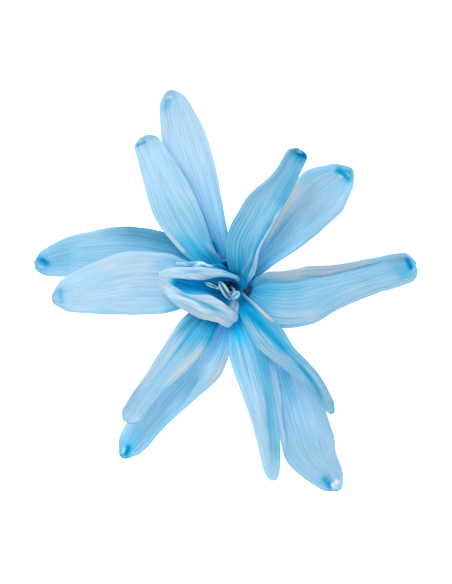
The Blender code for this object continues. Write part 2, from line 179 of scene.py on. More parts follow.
class Grain:
    """Smooth noise over a plane, the same each time for the same seed."""

    SIZE = 128

    def __init__(self, seed: int) -> None:
        """Draw the lattice that the noise passes through."""
        self.lattice = np.random.default_rng(seed).uniform(-1.0, 1.0, (self.SIZE, self.SIZE))

    def at(self, x: np.ndarray, y: np.ndarray) -> np.ndarray:
        """Read the noise, which turns about once for each unit of x and of y.

        Args:
            x: Where to read it, one way.
            y: Where to read it, the other way.

        Returns:
            The noise there, from -1 to 1.
        """
        i, j = np.floor(x).astype(int), np.floor(y).astype(int)
        s, t = smooth(x - i), smooth(y - j)
        n = self.SIZE
        low = self.lattice[i % n, j % n] * (1 - s) + self.lattice[(i + 1) % n, j % n] * s
        high = self.lattice[i % n, (j + 1) % n] * (1 - s) + self.lattice[(i + 1) % n, (j + 1) % n] * s
        return low * (1 - t) + high * t


@dataclass(frozen=True)
class Weave:
    """A pattern of noise on a petal: how often it turns in a millimetre, and where in the noise it starts."""

    across: float
    along: float
    start: tuple = (0.0, 0.0)

    def read(self, grain: Grain, across: np.ndarray, along: np.ndarray) -> np.ndarray:
        """Read the pattern at distances in millimetres across and along the petal."""
        return grain.at(across * self.across + self.start[0], along * self.along + self.start[1])


@dataclass(frozen=True)
class Whorl:
    """The ring of the throat that a set of petals rises from, and half the width of their claws.

    Some claws bend on the way from the foot to the lip, at a radius and height of their own.
    """

    foot_radius: float
    foot_height: float
    lip_radius: float
    lip_height: float
    claw: float
    bend: tuple = ()


@dataclass(frozen=True)
class Crease:
    """A line along a petal, drawn through points (x, y) as they are seen from above.

    A positive depth presses it in, and a negative one raises it. Its dye deepens or thins the colour, and
    milk makes the tissue paler and greyer, cream leaves it almost undyed, and shade paints shade that darkens
    it, or painted light that brightens it where shade is below 0.
    """

    path: tuple
    width: float = 0.16
    depth: float = 0.07
    dye: float = 0.2
    milk: float = 0.0
    cream: float = 0.0
    shade: float = 0.0


@dataclass(frozen=True)
class Strip:
    """The part of a petal on one side of a line, where the tissue is folded up, thinner or in shade.

    It comes in softly at the line and ends at its reach. Lift raises it, and the rest is as in a crease.
    """

    path: tuple
    on: Margin
    dye: float = 0.0
    milk: float = 0.0
    lift: float = 0.0
    soft: float = 0.15
    reach: float = 9.0
    cream: float = 0.0
    shade: float = 0.0


@dataclass(frozen=True)
class Fold:
    """A petal folded into a trough: how far it reaches each way, its walls and flaps, and its slant.

    These are given at WIDTH_PLACES. The claw wraps round the heart, and the trough opens out of it. A band of
    deeper dye and painted shade lines the trough, and the petal flares at the lip.
    """

    left_channel: tuple
    right_channel: tuple
    wall: tuple
    left_flap: tuple
    right_flap: tuple
    slant: tuple
    floor_share: float = 0.8
    floor_rise: float = 0.25
    wall_rise: float = 0.8
    flap_round: float = 0.3
    flap_droop: float = 0.3
    claw_wrap: float = 75.0
    trough_from: float = -0.25
    trough_over: float = 0.3
    band_to: float = 0.22
    band_share: float = 0.9
    flare: float = 1.9
    flare_to: float = 0.22
    flare_side: float = 0.3
    flare_over: float = 0.5
    channel_dye_and_shade: float = 0.78
    channel_edge: float = 0.12
    channel_spill: float = 0.3
    channel_to: float = 0.9
    channel_fades: float = 0.2
    flap_milk: float = 0.42


@dataclass(frozen=True)
class Petal:
    """One petal: its form, the same as the solid's, and its folds and dye.

    It rises at the angle of its root and ends at its tip. Heights and bows to the left are given at
    SPINE_PLACES, half widths at WIDTH_PLACES, and the angles by which it is cupped and its margin is turned
    up at SHAPE_PLACES. Tone is how deep its dye is, and flush how far the throat's deeper dye runs into it.
    Light scales its colour: painted light and shade that make the whole petal lighter or darker.
    """

    name: str
    root: float
    tip: tuple
    heights: tuple
    half_widths: tuple = ()
    bows: tuple = (0.0, 0.0, 0.0)
    cup: tuple = (30.0, 10.0, 20.0)
    flange: tuple = (0.0, 0.0, 0.0)
    flange_on: Margin = Margin.LEFT
    hood: float = 55.0
    round_tip: float = 2.0
    ripple: float = 0.12
    fold: Fold | None = None
    whorl: Whorl | None = None
    tone: float = 0.2
    flush: float = 2.6
    flush_dye: float = 0.85
    pleat: float = 1.0
    crumple: float = 0.1
    fray: float = 0.012
    tip_dye: float = 0.4
    light: float = 1.0
    milk: float = 0.02
    marks: tuple = ()


@dataclass(frozen=True)
class Share:
    """What each kind of pleat adds to the relief, the dye or the painted light and shade, and what more near
    the throat.
    """

    broad: float
    ribs: float
    lines: float
    veins: float
    lines_near: float = 0.0
    veins_near: float = 0.0


@dataclass(frozen=True)
class Pattern:
    """The pleats of a petal at each of its points, and how near the throat and how far out of it they lie."""

    broad: np.ndarray
    narrow: np.ndarray
    ribs: np.ndarray
    lines: np.ndarray
    veins: np.ndarray
    near: np.ndarray
    out: np.ndarray

    def shared(self, share: Share) -> np.ndarray:
        """Add up what the pleats give.

        Args:
            share: What each kind of them gives.

        Returns:
            Their sum at each point.
        """
        lines = (share.lines + share.lines_near * self.near) * self.lines
        veins = (share.veins + share.veins_near * self.near) * self.veins
        return self.out * (share.broad * self.broad + share.ribs * self.ribs + lines + veins)


class Pleats:
    """The pleats and veins that all petals have, in millimetres, what dye and milk lie in them, and the light
    and shade painted along them.
    """

    # How the pleats wander sideways, and how far
    DRIFT = Weave(0.45, 0.14, (9.0, 0.0))
    DRIFT_REACH = 0.3

    # The broad pleats, the ribs, the veins and the fine lines
    BROAD = Weave(1 / 0.6, 0.06, (20.0, 3.0))
    NARROW = Weave(1 / 0.34, 0.2, (40.0, 7.0))
    RIB_SHARPNESS = 1.7
    VEINS = Weave(1 / 0.45, 0.07, (60.0, 0.0))
    VEIN_WIDTH = 0.36
    VEIN_STRENGTH = Weave(1.3, 0.4, (30.0, 0.0))
    VEIN_VARIES = 0.45
    LINE_APART = 0.43
    LINE_STRENGTH = Weave(0.9, 0.35, (3.0, 0.0))
    LINE_VARIES = 0.35

    # How far from the lip the pleats are strongest, and where on the claw they start
    NEAR = 4.0
    OUT_FROM = -0.3
    OUT_OVER = 0.5

    # What they give: relief, dye, and painted light and shade, with lighter lines and darker veins
    RELIEF = Share(broad=0.045, ribs=0.04, lines=0.016, veins=-0.035, veins_near=-0.035)
    DYE = Share(broad=0.04, ribs=-0.02, lines=-0.02, veins=0.04, veins_near=0.05)
    PAINTED_SHADING = Share(broad=0.03, ribs=0.04, lines=0.05, veins=-0.06, lines_near=0.12, veins_near=-0.18)

    # Crumples, blotches of dye and clouds of milk
    CRUMPLE = Weave(1 / 1.7, 1 / 2.4, (5.0, 0.0))
    CRUMPLE_GROWS = 3
    BLOTCH = Weave(1 / 1.6, 1 / 2.2, (11.0, 0.0))
    BLOTCH_DYE = 0.05
    CLOUD = Weave(1 / 1.1, 1 / 3.5, (31.0, 0.0))
    CLOUD_MILK = 0.08
    RIB_MILK = 0.05

    # The deeper dye that runs out of the throat, ragged along the pleats
    FLUSH_BEFORE_LIP = 0.4
    FLUSH_FALL = 1.5
    FLUSH_NARROW = 0.2
    FLUSH_VEINS = 0.16
    FLUSH_RIBS = 0.16
    FLUSH_MILK = 0.4

    # The margin, paler and greyer where the tissue is thin, with more dye as painted shade of the curled edge
    MARGIN_FROM = 0.93
    MARGIN_GROWS = 4
    MARGIN_DYE = 0.1
    MARGIN_MILK = 0.22
    CREAM_VARIES = 0.5

    # The spot of dye in the hooded tip
    TIP_SPOT_FROM = 0.5
    TIP_SPOT_SIZE = 0.6
    TIP_SPOT_GRAIN = 4.0
    TIP_SPOT_START = 8.0
    TIP_SPOT_LEAST = 0.75
    TIP_SPOT_VARIES = 0.5

    # The most dye, and the least and most painted light and shade
    MOST_DYE = 1.1
    PAINTED_LIGHT_RANGE = (0.3, 1.5)


@dataclass
class Coat:
    """What is pressed and dyed into a petal at each of its points, with the light and shade painted on it."""

    relief: np.ndarray
    dye: np.ndarray
    milk: np.ndarray
    cream: np.ndarray
    light: np.ndarray

    def add(self, mark: Crease | Strip, within: np.ndarray) -> None:
        """Take on a mark's colours, and the light or shade that it paints.

        Args:
            mark: The crease or strip.
            within: How strongly it shows at each point, from 0 to 1.
        """
        self.dye = self.dye + mark.dye * within
        self.milk = self.milk + mark.milk * within
        self.cream = self.cream + mark.cream * within
        self.light = self.light - mark.shade * within


class PetalNet:
    """The net of points that a petal's surface passes through, with its dye and painted light and shade at
    each point.
    """

    def __init__(
        self, petal: Petal, whorl: Whorl, seed: int, rows: int = ROWS, columns: int = COLUMNS,
    ) -> None:
        """Work out the petal's surface.

        Args:
            petal: The petal.
            whorl: The ring that its set rises from.
            seed: What its folds and flecks are drawn by.
            rows: How many rows of faces it has along it.
            columns: How many it has across it, an even number.
        """
        self.petal = petal
        self.whorl = petal.whorl or whorl
        self.seed = seed
        self.rows, self.columns = rows, columns
        self.side = np.linspace(-1.0, 1.0, columns + 1)[None, :]
        self._lay_midline()
        self._spread()
        self._pleat()

    def _knots(self) -> np.ndarray:
        """Find the points that the midline passes through.

        Returns:
            The foot, a bend where the whorl has one, the lip, three points along the blade and the tip.
        """
        petal, whorl = self.petal, self.whorl
        root = math.radians(petal.root)
        outward = np.array((math.cos(root), math.sin(root), 0.0))
        up = np.array((0.0, 0.0, 1.0))
        foot = outward * whorl.foot_radius + up * whorl.foot_height
        lip = outward * whorl.lip_radius + up * whorl.lip_height
        tip = np.array(petal.tip)
        flat = (tip - lip) * (1, 1, 0)
        leftward = unit(np.array((-flat[1], flat[0], 0.0)))
        knots = [foot, outward * whorl.bend[0] + up * whorl.bend[1], lip] if whorl.bend else [foot, lip]
        for place, bow, height in zip(SPINE_PLACES, petal.bows, petal.heights):
            knot = lip + flat * place + leftward * bow
            knot[2] = height
            knots.append(knot)
        return np.array(knots + [tip])

    def _lay_midline(self) -> None:
        """Set the midline's points, headings, distances and places, with its hooded tip curled up."""
        petal = self.petal
        knots = self._knots()
        lengths = distances(knots)
        lip, whole = lengths[2 if self.whorl.bend else 1], lengths[-1]
        x = whole * (1 - (1 - np.linspace(0.0, 1.0, self.rows + 1)) ** TIP_CROWDING)
        after, before = np.minimum(whole, x + SPINE_STEP), np.maximum(0.0, x - SPINE_STEP)
        along = course(knots, lengths, after) - course(knots, lengths, before)
        root = math.radians(petal.root)
        turn = (np.arctan2(along[:, 1], along[:, 0]) - root + math.pi) % math.tau - math.pi
        heading = root + turn * smooth((x - lip) / HEADING_TURNS)
        points = course(knots, lengths, x)
        curl = math.radians(petal.hood) * np.clip((x - whole + HOOD_LENGTH) / HOOD_LENGTH, 0.0, 1.0)
        pitch = np.arctan2(along[:, 2], np.hypot(along[:, 0], along[:, 1])) + curl
        flat = np.cos(pitch)
        onward = np.stack((np.cos(heading) * flat, np.sin(heading) * flat, np.sin(pitch)), axis=1)
        first = int(np.searchsorted(x, whole - HOOD_LENGTH))
        onward[first:] *= np.diff(x)[first - 1:, None]
        points[first:] = points[first - 1] + np.cumsum(onward[first:], axis=0)
        steps = np.linalg.norm(np.diff(points[:, :2], axis=0), axis=1)
        steps[x[1:] <= lip] = 0.0
        reach = np.concatenate(((0.0,), np.cumsum(steps)))
        self.points, self.heading, self.distance = points, heading, x - lip
        self.reach = reach[-1]
        self.place = np.where(x <= lip, x / lip - 1, reach / self.reach)

    def _half_width(self) -> np.ndarray:
        """Work out how wide the petal is, rounded off at its tip.

        Returns:
            Half the width of each row.
        """
        petal, place = self.petal, self.place
        claw = self.whorl.claw + (petal.half_widths[0] - self.whorl.claw) * smooth(1 + place)
        width = through(petal.half_widths, WIDTH_PLACES, place)
        share = np.clip(1 - (1 - place) * self.reach / petal.round_tip, 0.0, 1.0)
        width = width * np.maximum(TIP_WIDTH_LEFT, np.sqrt(1 - share * share))
        return np.where(place <= 0, claw, width)

    def _slopes(self, side: np.ndarray) -> np.ndarray:
        """Work out how steeply the blade rises across itself.

        Args:
            side: How far across each row to say it.

        Returns:
            The slope in radians, for each row and side.
        """
        petal = self.petal
        along = np.maximum(0.0, self.place)
        opened = CLAW_CUP + (1 - CLAW_CUP) * smooth(1 + self.place)
        cup = np.radians(through(petal.cup, SHAPE_PLACES, along)) * opened
        flange = np.radians(through(petal.flange, SHAPE_PLACES, along)) * smooth(1 + 2 * self.place)
        on = petal.flange_on.value
        turn = smooth((side * on - FLANGE_STARTS) / FLANGE_TURNS)
        return cup[:, None] * side + on * flange[:, None] * turn

    def _section(self) -> tuple:
        """Bend each row to its slopes.

        Returns:
            How far each point lies across its row, and how far up from it.
        """
        half = self._half_width()
        count = self.columns // 2
        across = np.zeros((self.rows + 1, self.columns + 1))
        up = np.zeros_like(across)
        for direction in (-1, 1):
            side = (np.arange(count) + 0.5)[None, :] / count * direction
            slopes = self._slopes(side) * direction
            sharpest = np.abs(np.diff(slopes, axis=1)).max(axis=1) * count
            slopes *= np.minimum(1.0, half / TIGHTEST_ROLL / np.maximum(sharpest, 1e-6))[:, None]
            run, rise = np.cumsum(np.cos(slopes), axis=1), np.cumsum(np.sin(slopes), axis=1)
            at = count + direction * np.arange(1, count + 1)
            across[:, at] = run * direction
            up[:, at] = rise
        scale = (half / np.abs(across).max(axis=1))[:, None]
        return across * scale, up * scale

    def _fold_section(self) -> tuple:
        """Bend each row of the folded petal, whose claw wraps round the heart and opens into a trough.

        Returns:
            How far each point lies across its row, and how far up from it.
        """
        fold, claw = self.petal.fold, self.whorl.claw
        half = self.columns // 2
        shares = np.linspace(0.0, 1.0, half + 1)
        turn = math.radians(fold.claw_wrap) * shares
        across = np.zeros((self.rows + 1, self.columns + 1))
        up = np.zeros_like(across)
        self.trough = np.zeros_like(across)
        for row, place in enumerate(self.place):
            wall = float(through(fold.wall, WIDTH_PLACES, place))
            share = float(smooth((place - fold.trough_from) / fold.trough_over))
            for direction, channels, flaps in (
                (-1, fold.right_channel, fold.right_flap), (1, fold.left_channel, fold.left_flap),
            ):
                channel, flap = (float(through(v, WIDTH_PLACES, place)) for v in (channels, flaps))
                knots = np.array((
                    (0.0, 0.0),
                    (channel * fold.floor_share, wall * fold.floor_rise),
                    (channel, wall * fold.wall_rise),
                    (channel + flap * fold.flap_round, wall),
                    (channel + flap, wall - fold.flap_droop * flap),
                ))
                lengths = distances(knots)
                x = np.linspace(0.0, lengths[-1], half + 1)
                at = half + direction * np.arange(half + 1)
                band = (1 - float(smooth(place / fold.band_to))) * (direction < 0)
                shade_to = lengths[2] + (fold.band_share * lengths[-1] - lengths[2]) * band
                self.trough[row, at] = shade_to / lengths[-1] * share
                run = through(knots[:, 0], lengths, x) * share + claw * np.sin(turn) * (1 - share)
                rise = through(knots[:, 1], lengths, x) * share + claw * (1 - np.cos(turn)) * (1 - share)
                across[row, at] = run * direction
                up[row, at] = rise
        return across, up

    def _spread(self) -> None:
        """Lay the rows across the midline, with their ripples and frayed margins."""
        petal, fold = self.petal, self.petal.fold
        along = unit(np.gradient(self.points, axis=0))
        left = np.stack((-np.sin(self.heading), np.cos(self.heading), np.zeros_like(self.heading)), axis=1)
        left = unit(left - along * (left * along).sum(axis=1, keepdims=True))
        face = np.cross(along, left)
        if fold:
            slant = np.radians(through(fold.slant, WIDTH_PLACES, self.place))
            inward = np.stack((-np.cos(self.heading), -np.sin(self.heading)), axis=1) * np.cos(slant)[:, None]
            face = np.concatenate((inward, np.sin(slant)[:, None]), axis=1)
            across, up = self._fold_section()
        else:
            across, up = self._section()
        place, edge = self.place[:, None], np.abs(self.side)
        wave = np.sin(RIPPLE_TURNS * place + RIPPLE_LEAN * self.side + petal.root)
        narrow = np.minimum(1.0, np.abs(across))
        up = up + wave * petal.ripple * edge ** RIPPLE_TO_EDGE * smooth(RIPPLE_GROWS * place) * narrow
        margins = FRAY_SIDES_APART * np.sign(self.side)
        frayed = Grain(self.seed + FRAY_SEED).at(self.distance[:, None] / FRAY_LENGTH, margins)
        across = across * (1 + petal.fray * frayed * edge ** FRAY_TO_EDGE * smooth(FRAY_GROWS * place))
        self.across = across
        self.net = self.points[:, None] + left[:, None] * across[..., None] + face[:, None] * up[..., None]
        if fold:
            outer = smooth((self.side - fold.flare_side) / fold.flare_over)
            flare = fold.flare * outer * np.exp(-((place / fold.flare_to) ** 2))
            self.net = self.net - along[:, None] * (1, 1, 0) * flare[..., None]
        self.mm_across = self.side * np.abs(across).max()

    def _normals(self) -> np.ndarray:
        """The way the petal's upper face looks, at each point."""
        return unit(np.cross(np.gradient(self.net, axis=0), np.gradient(self.net, axis=1)))

    def _pattern(self, grain: Grain, fine: Grain, third: Grain) -> Pattern:
        """Lay out the pleats.

        Args:
            grain: The noise that the broad pleats are read from.
            fine: The noise of the ribs and the fine lines.
            third: The noise of the veins.

        Returns:
            The pleats at each point.
        """
        across, along = self.mm_across, self.distance[:, None]
        wander = across + Pleats.DRIFT_REACH * Pleats.DRIFT.read(grain, across, along)
        narrow = Pleats.NARROW.read(fine, wander, along)
        veins = np.exp(-((Pleats.VEINS.read(third, wander, along) / Pleats.VEIN_WIDTH) ** 2))
        strength = 1 - Pleats.VEIN_VARIES * (1 - Pleats.VEIN_STRENGTH.read(grain, across, along))
        clearness = 1 - Pleats.LINE_VARIES * (1 - Pleats.LINE_STRENGTH.read(fine, across, along))
        return Pattern(
            broad=Pleats.BROAD.read(grain, wander, along),
            narrow=narrow,
            ribs=smooth(1 - np.abs(narrow) * Pleats.RIB_SHARPNESS),
            lines=np.cos(math.tau * wander / Pleats.LINE_APART) * clearness,
            veins=veins * strength,
            near=np.exp(-np.maximum(0.0, along) / Pleats.NEAR),
            out=smooth((self.place[:, None] - Pleats.OUT_FROM) / Pleats.OUT_OVER) * self.petal.pleat,
        )

    def _pleat(self) -> None:
        """Press the pleats and creases into the surface, and work out the dye that lies in them and the light
        and shade painted on them.
        """
        petal = self.petal
        place, along, across = self.place[:, None], self.distance[:, None], self.mm_across
        grain, fine, third = (Grain(self.seed + k) for k in range(3))
        pleats = self._pattern(grain, fine, third)
        crumples = petal.crumple * smooth(place * Pleats.CRUMPLE_GROWS)
        relief = pleats.shared(Pleats.RELIEF) + crumples * Pleats.CRUMPLE.read(third, across, along)
        dye = petal.tone + pleats.shared(Pleats.DYE)
        dye = dye + Pleats.BLOTCH_DYE * Pleats.BLOTCH.read(fine, across, along)
        # Painted light and shade: the petal's lightness, with lighter lines and darker veins along the pleats
        light = petal.light + pleats.shared(Pleats.PAINTED_SHADING)
        ragged = 1 + Pleats.FLUSH_NARROW * pleats.narrow - Pleats.FLUSH_VEINS * pleats.veins
        flush_at = np.maximum(0.0, along + Pleats.FLUSH_BEFORE_LIP) * ragged
        flush = np.exp(-((flush_at / petal.flush) ** Pleats.FLUSH_FALL))
        flush = flush * (1 - Pleats.FLUSH_RIBS * pleats.out * pleats.ribs)
        dye = dye + (petal.flush_dye - petal.tone) * flush
        milk = petal.milk + Pleats.CLOUD_MILK * Pleats.CLOUD.read(fine, across, along)
        milk = milk + Pleats.RIB_MILK * pleats.ribs - Pleats.FLUSH_MILK * flush
        if petal.fold:
            inside = self._in_channel()
            # The trough takes deeper dye and painted shade
            dye = dye + petal.fold.channel_dye_and_shade * inside
            milk = milk + petal.fold.flap_milk * (1 - inside)
        margin = smooth((np.abs(self.side) - Pleats.MARGIN_FROM) / (1 - Pleats.MARGIN_FROM))
        margin = margin * smooth(place * Pleats.MARGIN_GROWS)
        # More dye at the margin: painted shade of the curled edge
        dye = dye + Pleats.MARGIN_DYE * margin
        milk = milk + Pleats.MARGIN_MILK * margin
        self.seen = self.net[..., :2] * (CAMERA_HEIGHT / (CAMERA_HEIGHT - self.net[..., 2:]))
        coat = Coat(relief, dye, milk, np.zeros_like(dye), light)
        for mark in petal.marks:
            self._draw(mark, coat)
        self.net = self.net + self._normals() * coat.relief[..., None]
        self.dye = np.clip(coat.dye + self._tip_spot(fine), 0.0, Pleats.MOST_DYE)
        self.milk = np.clip(coat.milk, 0.0, 1.0)
        self.light = np.clip(coat.light, *Pleats.PAINTED_LIGHT_RANGE)
        self.cream = np.clip(coat.cream * (1 + Pleats.CREAM_VARIES * pleats.narrow), 0.0, 1.0)

    def _in_channel(self) -> np.ndarray:
        """Say where the folded petal's trough is.

        Returns:
            1 inside it, 0 outside it, and a soft edge between.
        """
        fold = self.petal.fold
        sideways = smooth((self.trough - np.abs(self.side)) / fold.channel_edge + fold.channel_spill)
        return sideways * smooth((fold.channel_to - self.place[:, None]) / fold.channel_fades)

    def _draw(self, mark: Crease | Strip, coat: Coat) -> None:
        """Draw a crease or a strip on the petal.

        Args:
            mark: The crease or strip.
            coat: What it is drawn on.
        """
        signed, run = self._from_line(mark.path)
        if isinstance(mark, Crease):
            length = np.hypot(*np.diff(np.array(mark.path), axis=0).T).sum()
            within = np.exp(-((signed / mark.width) ** 2))
            if length > SHORT_MARK * mark.width:
                within = within * smooth(run / MARK_TAPER) * smooth((1 - run) / MARK_TAPER)
            coat.relief = coat.relief - mark.depth * within
        else:
            signed = signed * mark.on.value
            within = smooth(signed / mark.soft + 0.5) * smooth(run / STRIP_TAPER)
            within = within * smooth((1 - run) / STRIP_TAPER) * (signed < mark.reach)
            rise = np.minimum(1.0, np.maximum(0.0, signed) / STRIP_RISES)
            coat.relief = coat.relief + mark.lift * within * rise
        coat.add(mark, within)

    def _from_line(self, path: tuple) -> tuple:
        """How far each point is seen from a line.

        Args:
            path: The points (x, y) that the line passes through.

        Returns:
            The distance, above 0 on the line's left and below on its right, and the share of the line
            that it is nearest to.
        """
        knots = np.array(path, float)
        lengths = distances(knots)
        shares = np.linspace(0.0, 1.0, LINE_SAMPLES)
        line = course(knots, lengths, shares * lengths[-1])
        onward = unit(np.gradient(line, axis=0))
        away = self.seen[:, :, None] - line
        nearest = np.argmin((away ** 2).sum(axis=-1), axis=-1)
        rows, columns = np.indices(nearest.shape)
        offset = away[rows, columns, nearest]
        direction = onward[nearest]
        left = direction[..., 0] * offset[..., 1] - direction[..., 1] * offset[..., 0]
        return np.sign(left) * np.linalg.norm(offset, axis=-1), shares[nearest]

    def _tip_spot(self, fine: Grain) -> np.ndarray:
        """Work out the saturated spot that the dye leaves in the hooded tip.

        Args:
            fine: The noise that mottles it.

        Returns:
            The dye to add at each point.
        """
        to_tip = (1 - self.place[:, None]) * self.reach
        size, often = Pleats.TIP_SPOT_SIZE, Pleats.TIP_SPOT_GRAIN
        spot = np.exp(-((to_tip - Pleats.TIP_SPOT_FROM) / size) ** 2 - (self.across / size) ** 2)
        mottle = fine.at(self.across * often + Pleats.TIP_SPOT_START, to_tip * often)
        return self.petal.tip_dye * spot * (Pleats.TIP_SPOT_LEAST + Pleats.TIP_SPOT_VARIES * mottle)


@dataclass(frozen=True)
class Tissue:
    """The finish of preserved petal tissue: pale where it is thin, and deep where the dye has pooled.

    Streaks, fibres and flecks turn so often in a millimetre across and along the petal. The mesh's lightness,
    with the streaks and fibres lighter and darker, is painted light and shade that scales the colour.
    """

    name: str
    stops: tuple = (
        (0.0, (0.46, 0.68, 0.875)), (0.25, (0.29, 0.61, 0.84)), (0.5, (0.105, 0.50, 0.76)),
        (0.75, (0.0, 0.39, 0.70)), (0.9, (0.0, 0.31, 0.64)), (1.0, (0.0, 0.2, 0.52)),
    )
    milk: tuple = (0.52, 0.67, 0.80)
    cream: tuple = (0.66, 0.69, 0.70)
    streak_turns: tuple = (2.6, 0.22, 1.0)
    streak_dye: float = 0.08
    streak_shading: float = 0.26
    streak_height: float = 0.6
    fibre_turns: tuple = (7.0, 0.5, 1.0)
    fibre_dye: float = 0.06
    fibre_shading: float = 0.22
    fibre_height: float = 0.4
    fleck_turns: tuple = (1.2, 0.9, 1.0)
    fleck_dye: float = 0.1
    fleck_milk: float = 0.3
    fleck_milk_from: float = 0.13
    fleck_roughness: float = 0.16
    milk_fades: float = -1.35
    milk_fades_from: float = 1.12
    roughness: float = 0.7
    bump: float = 0.4
    bump_height: float = 0.08
    specular: float = 0.12
    subsurface: float = 0.06
    subsurface_colours: tuple = (0.5, 0.8, 1.0)
    subsurface_reach: float = 0.3

    def make(self) -> bpy.types.Material:
        """Build the material.

        Returns:
            A material whose dye follows the petal, with fibres along it.
        """
        kit = Nodes(self.name)
        dye, milk = kit.attribute("dye"), kit.attribute("milk")
        veins = kit.attribute("vein", "Vector")
        streak = kit.noise(kit.mapped(veins, self.streak_turns), scale=1.0, detail=3.0, distortion=0.3)
        fibre = kit.noise(kit.mapped(veins, self.fibre_turns), scale=1.0, detail=2.0, distortion=0.2)
        fleck = kit.noise(kit.mapped(veins, self.fleck_turns), scale=1.0, detail=4.0, distortion=0.5)
        varied = kit.math("MULTIPLY_ADD", streak, self.streak_dye, dye)
        varied = kit.math("MULTIPLY_ADD", fibre, self.fibre_dye, varied)
        varied = kit.math("MULTIPLY_ADD", fleck, self.fleck_dye, varied)
        varied = kit.math("SUBTRACT", varied, (self.streak_dye + self.fibre_dye + self.fleck_dye) / 2)
        colour = kit.ramp(varied, self.stops)
        whitened = kit.math("MULTIPLY_ADD", fleck, self.fleck_milk, milk)
        whitened = kit.math("SUBTRACT", whitened, self.fleck_milk_from, clamp=True)
        thin = kit.math("MULTIPLY_ADD", dye, self.milk_fades, self.milk_fades_from, clamp=True)
        colour = kit.mix(kit.math("MULTIPLY", whitened, thin), colour, self.milk)
        colour = kit.mix(kit.attribute("cream"), colour, self.cream)
        # Painted light and shade: the mesh's lightness, with streaks and fibres lighter and darker, scales
        # the colour
        light = kit.math("MULTIPLY_ADD", streak, self.streak_shading, kit.attribute("light"))
        light = kit.math("MULTIPLY_ADD", fibre, self.fibre_shading, light)
        light = kit.math("SUBTRACT", light, (self.streak_shading + self.fibre_shading) / 2)
        height = kit.math("MULTIPLY", fibre, self.fibre_height)
        height = kit.math("MULTIPLY_ADD", streak, self.streak_height, height)
        even = self.roughness - self.fleck_roughness / 2
        shader = kit.shader
        kit.link(kit.scaled(colour, light), shader.inputs["Base Color"])
        kit.link(kit.math("MULTIPLY_ADD", fleck, self.fleck_roughness, even), shader.inputs["Roughness"])
        kit.link(kit.bump(height, self.bump, self.bump_height * MM), shader.inputs["Normal"])
        shader.inputs["Specular IOR Level"].default_value = self.specular
        shader.inputs["Subsurface Weight"].default_value = self.subsurface
        shader.inputs["Subsurface Radius"].default_value = self.subsurface_colours
        shader.inputs["Subsurface Scale"].default_value = self.subsurface_reach * MM
        return kit.material


@dataclass(frozen=True)
class Powder:
    """The finish of an anther or a stigma: pale and grainy, with painted shade in its hollows."""

    name: str
    light: tuple
    dark: tuple
    grain: float = 9000.0
    patch_size: float = 5.0
    patch_share: float = 0.6
    grain_share: float = 0.4
    lighter: float = 0.12
    hollow_painted_shade: float = -0.7
    dark_at: float = 0.35
    light_at: float = 0.62
    roughness: float = 0.75
    bump: float = 0.6
    bump_height: float = 0.05
    subsurface: float = 0.1
    subsurface_reach: float = 0.3

    def make(self) -> bpy.types.Material:
        """Build the material.

        Returns:
            A material whose grains lie still on the piece.
        """
        kit = Nodes(self.name)
        place = kit.node("ShaderNodeTexCoord").outputs["Object"]
        speckle = kit.noise(place, scale=self.grain, detail=3.0)
        patchy = kit.noise(place, scale=self.grain / self.patch_size, detail=2.0)
        mixed = kit.math("MULTIPLY", speckle, self.grain_share)
        mixed = kit.math("MULTIPLY_ADD", patchy, self.patch_share, mixed)
        mixed = kit.math("ADD", mixed, self.lighter)
        # Painted shade in the hollows
        mixed = kit.math("MULTIPLY_ADD", kit.attribute("hollow"), self.hollow_painted_shade, mixed)
        colour = kit.ramp(mixed, ((self.dark_at, self.dark), (self.light_at, self.light)))
        shader = kit.shader
        kit.link(colour, shader.inputs["Base Color"])
        kit.link(kit.bump(speckle, self.bump, self.bump_height * MM), shader.inputs["Normal"])
        shader.inputs["Roughness"].default_value = self.roughness
        shader.inputs["Subsurface Weight"].default_value = self.subsurface
        shader.inputs["Subsurface Scale"].default_value = self.subsurface_reach * MM
        return kit.material


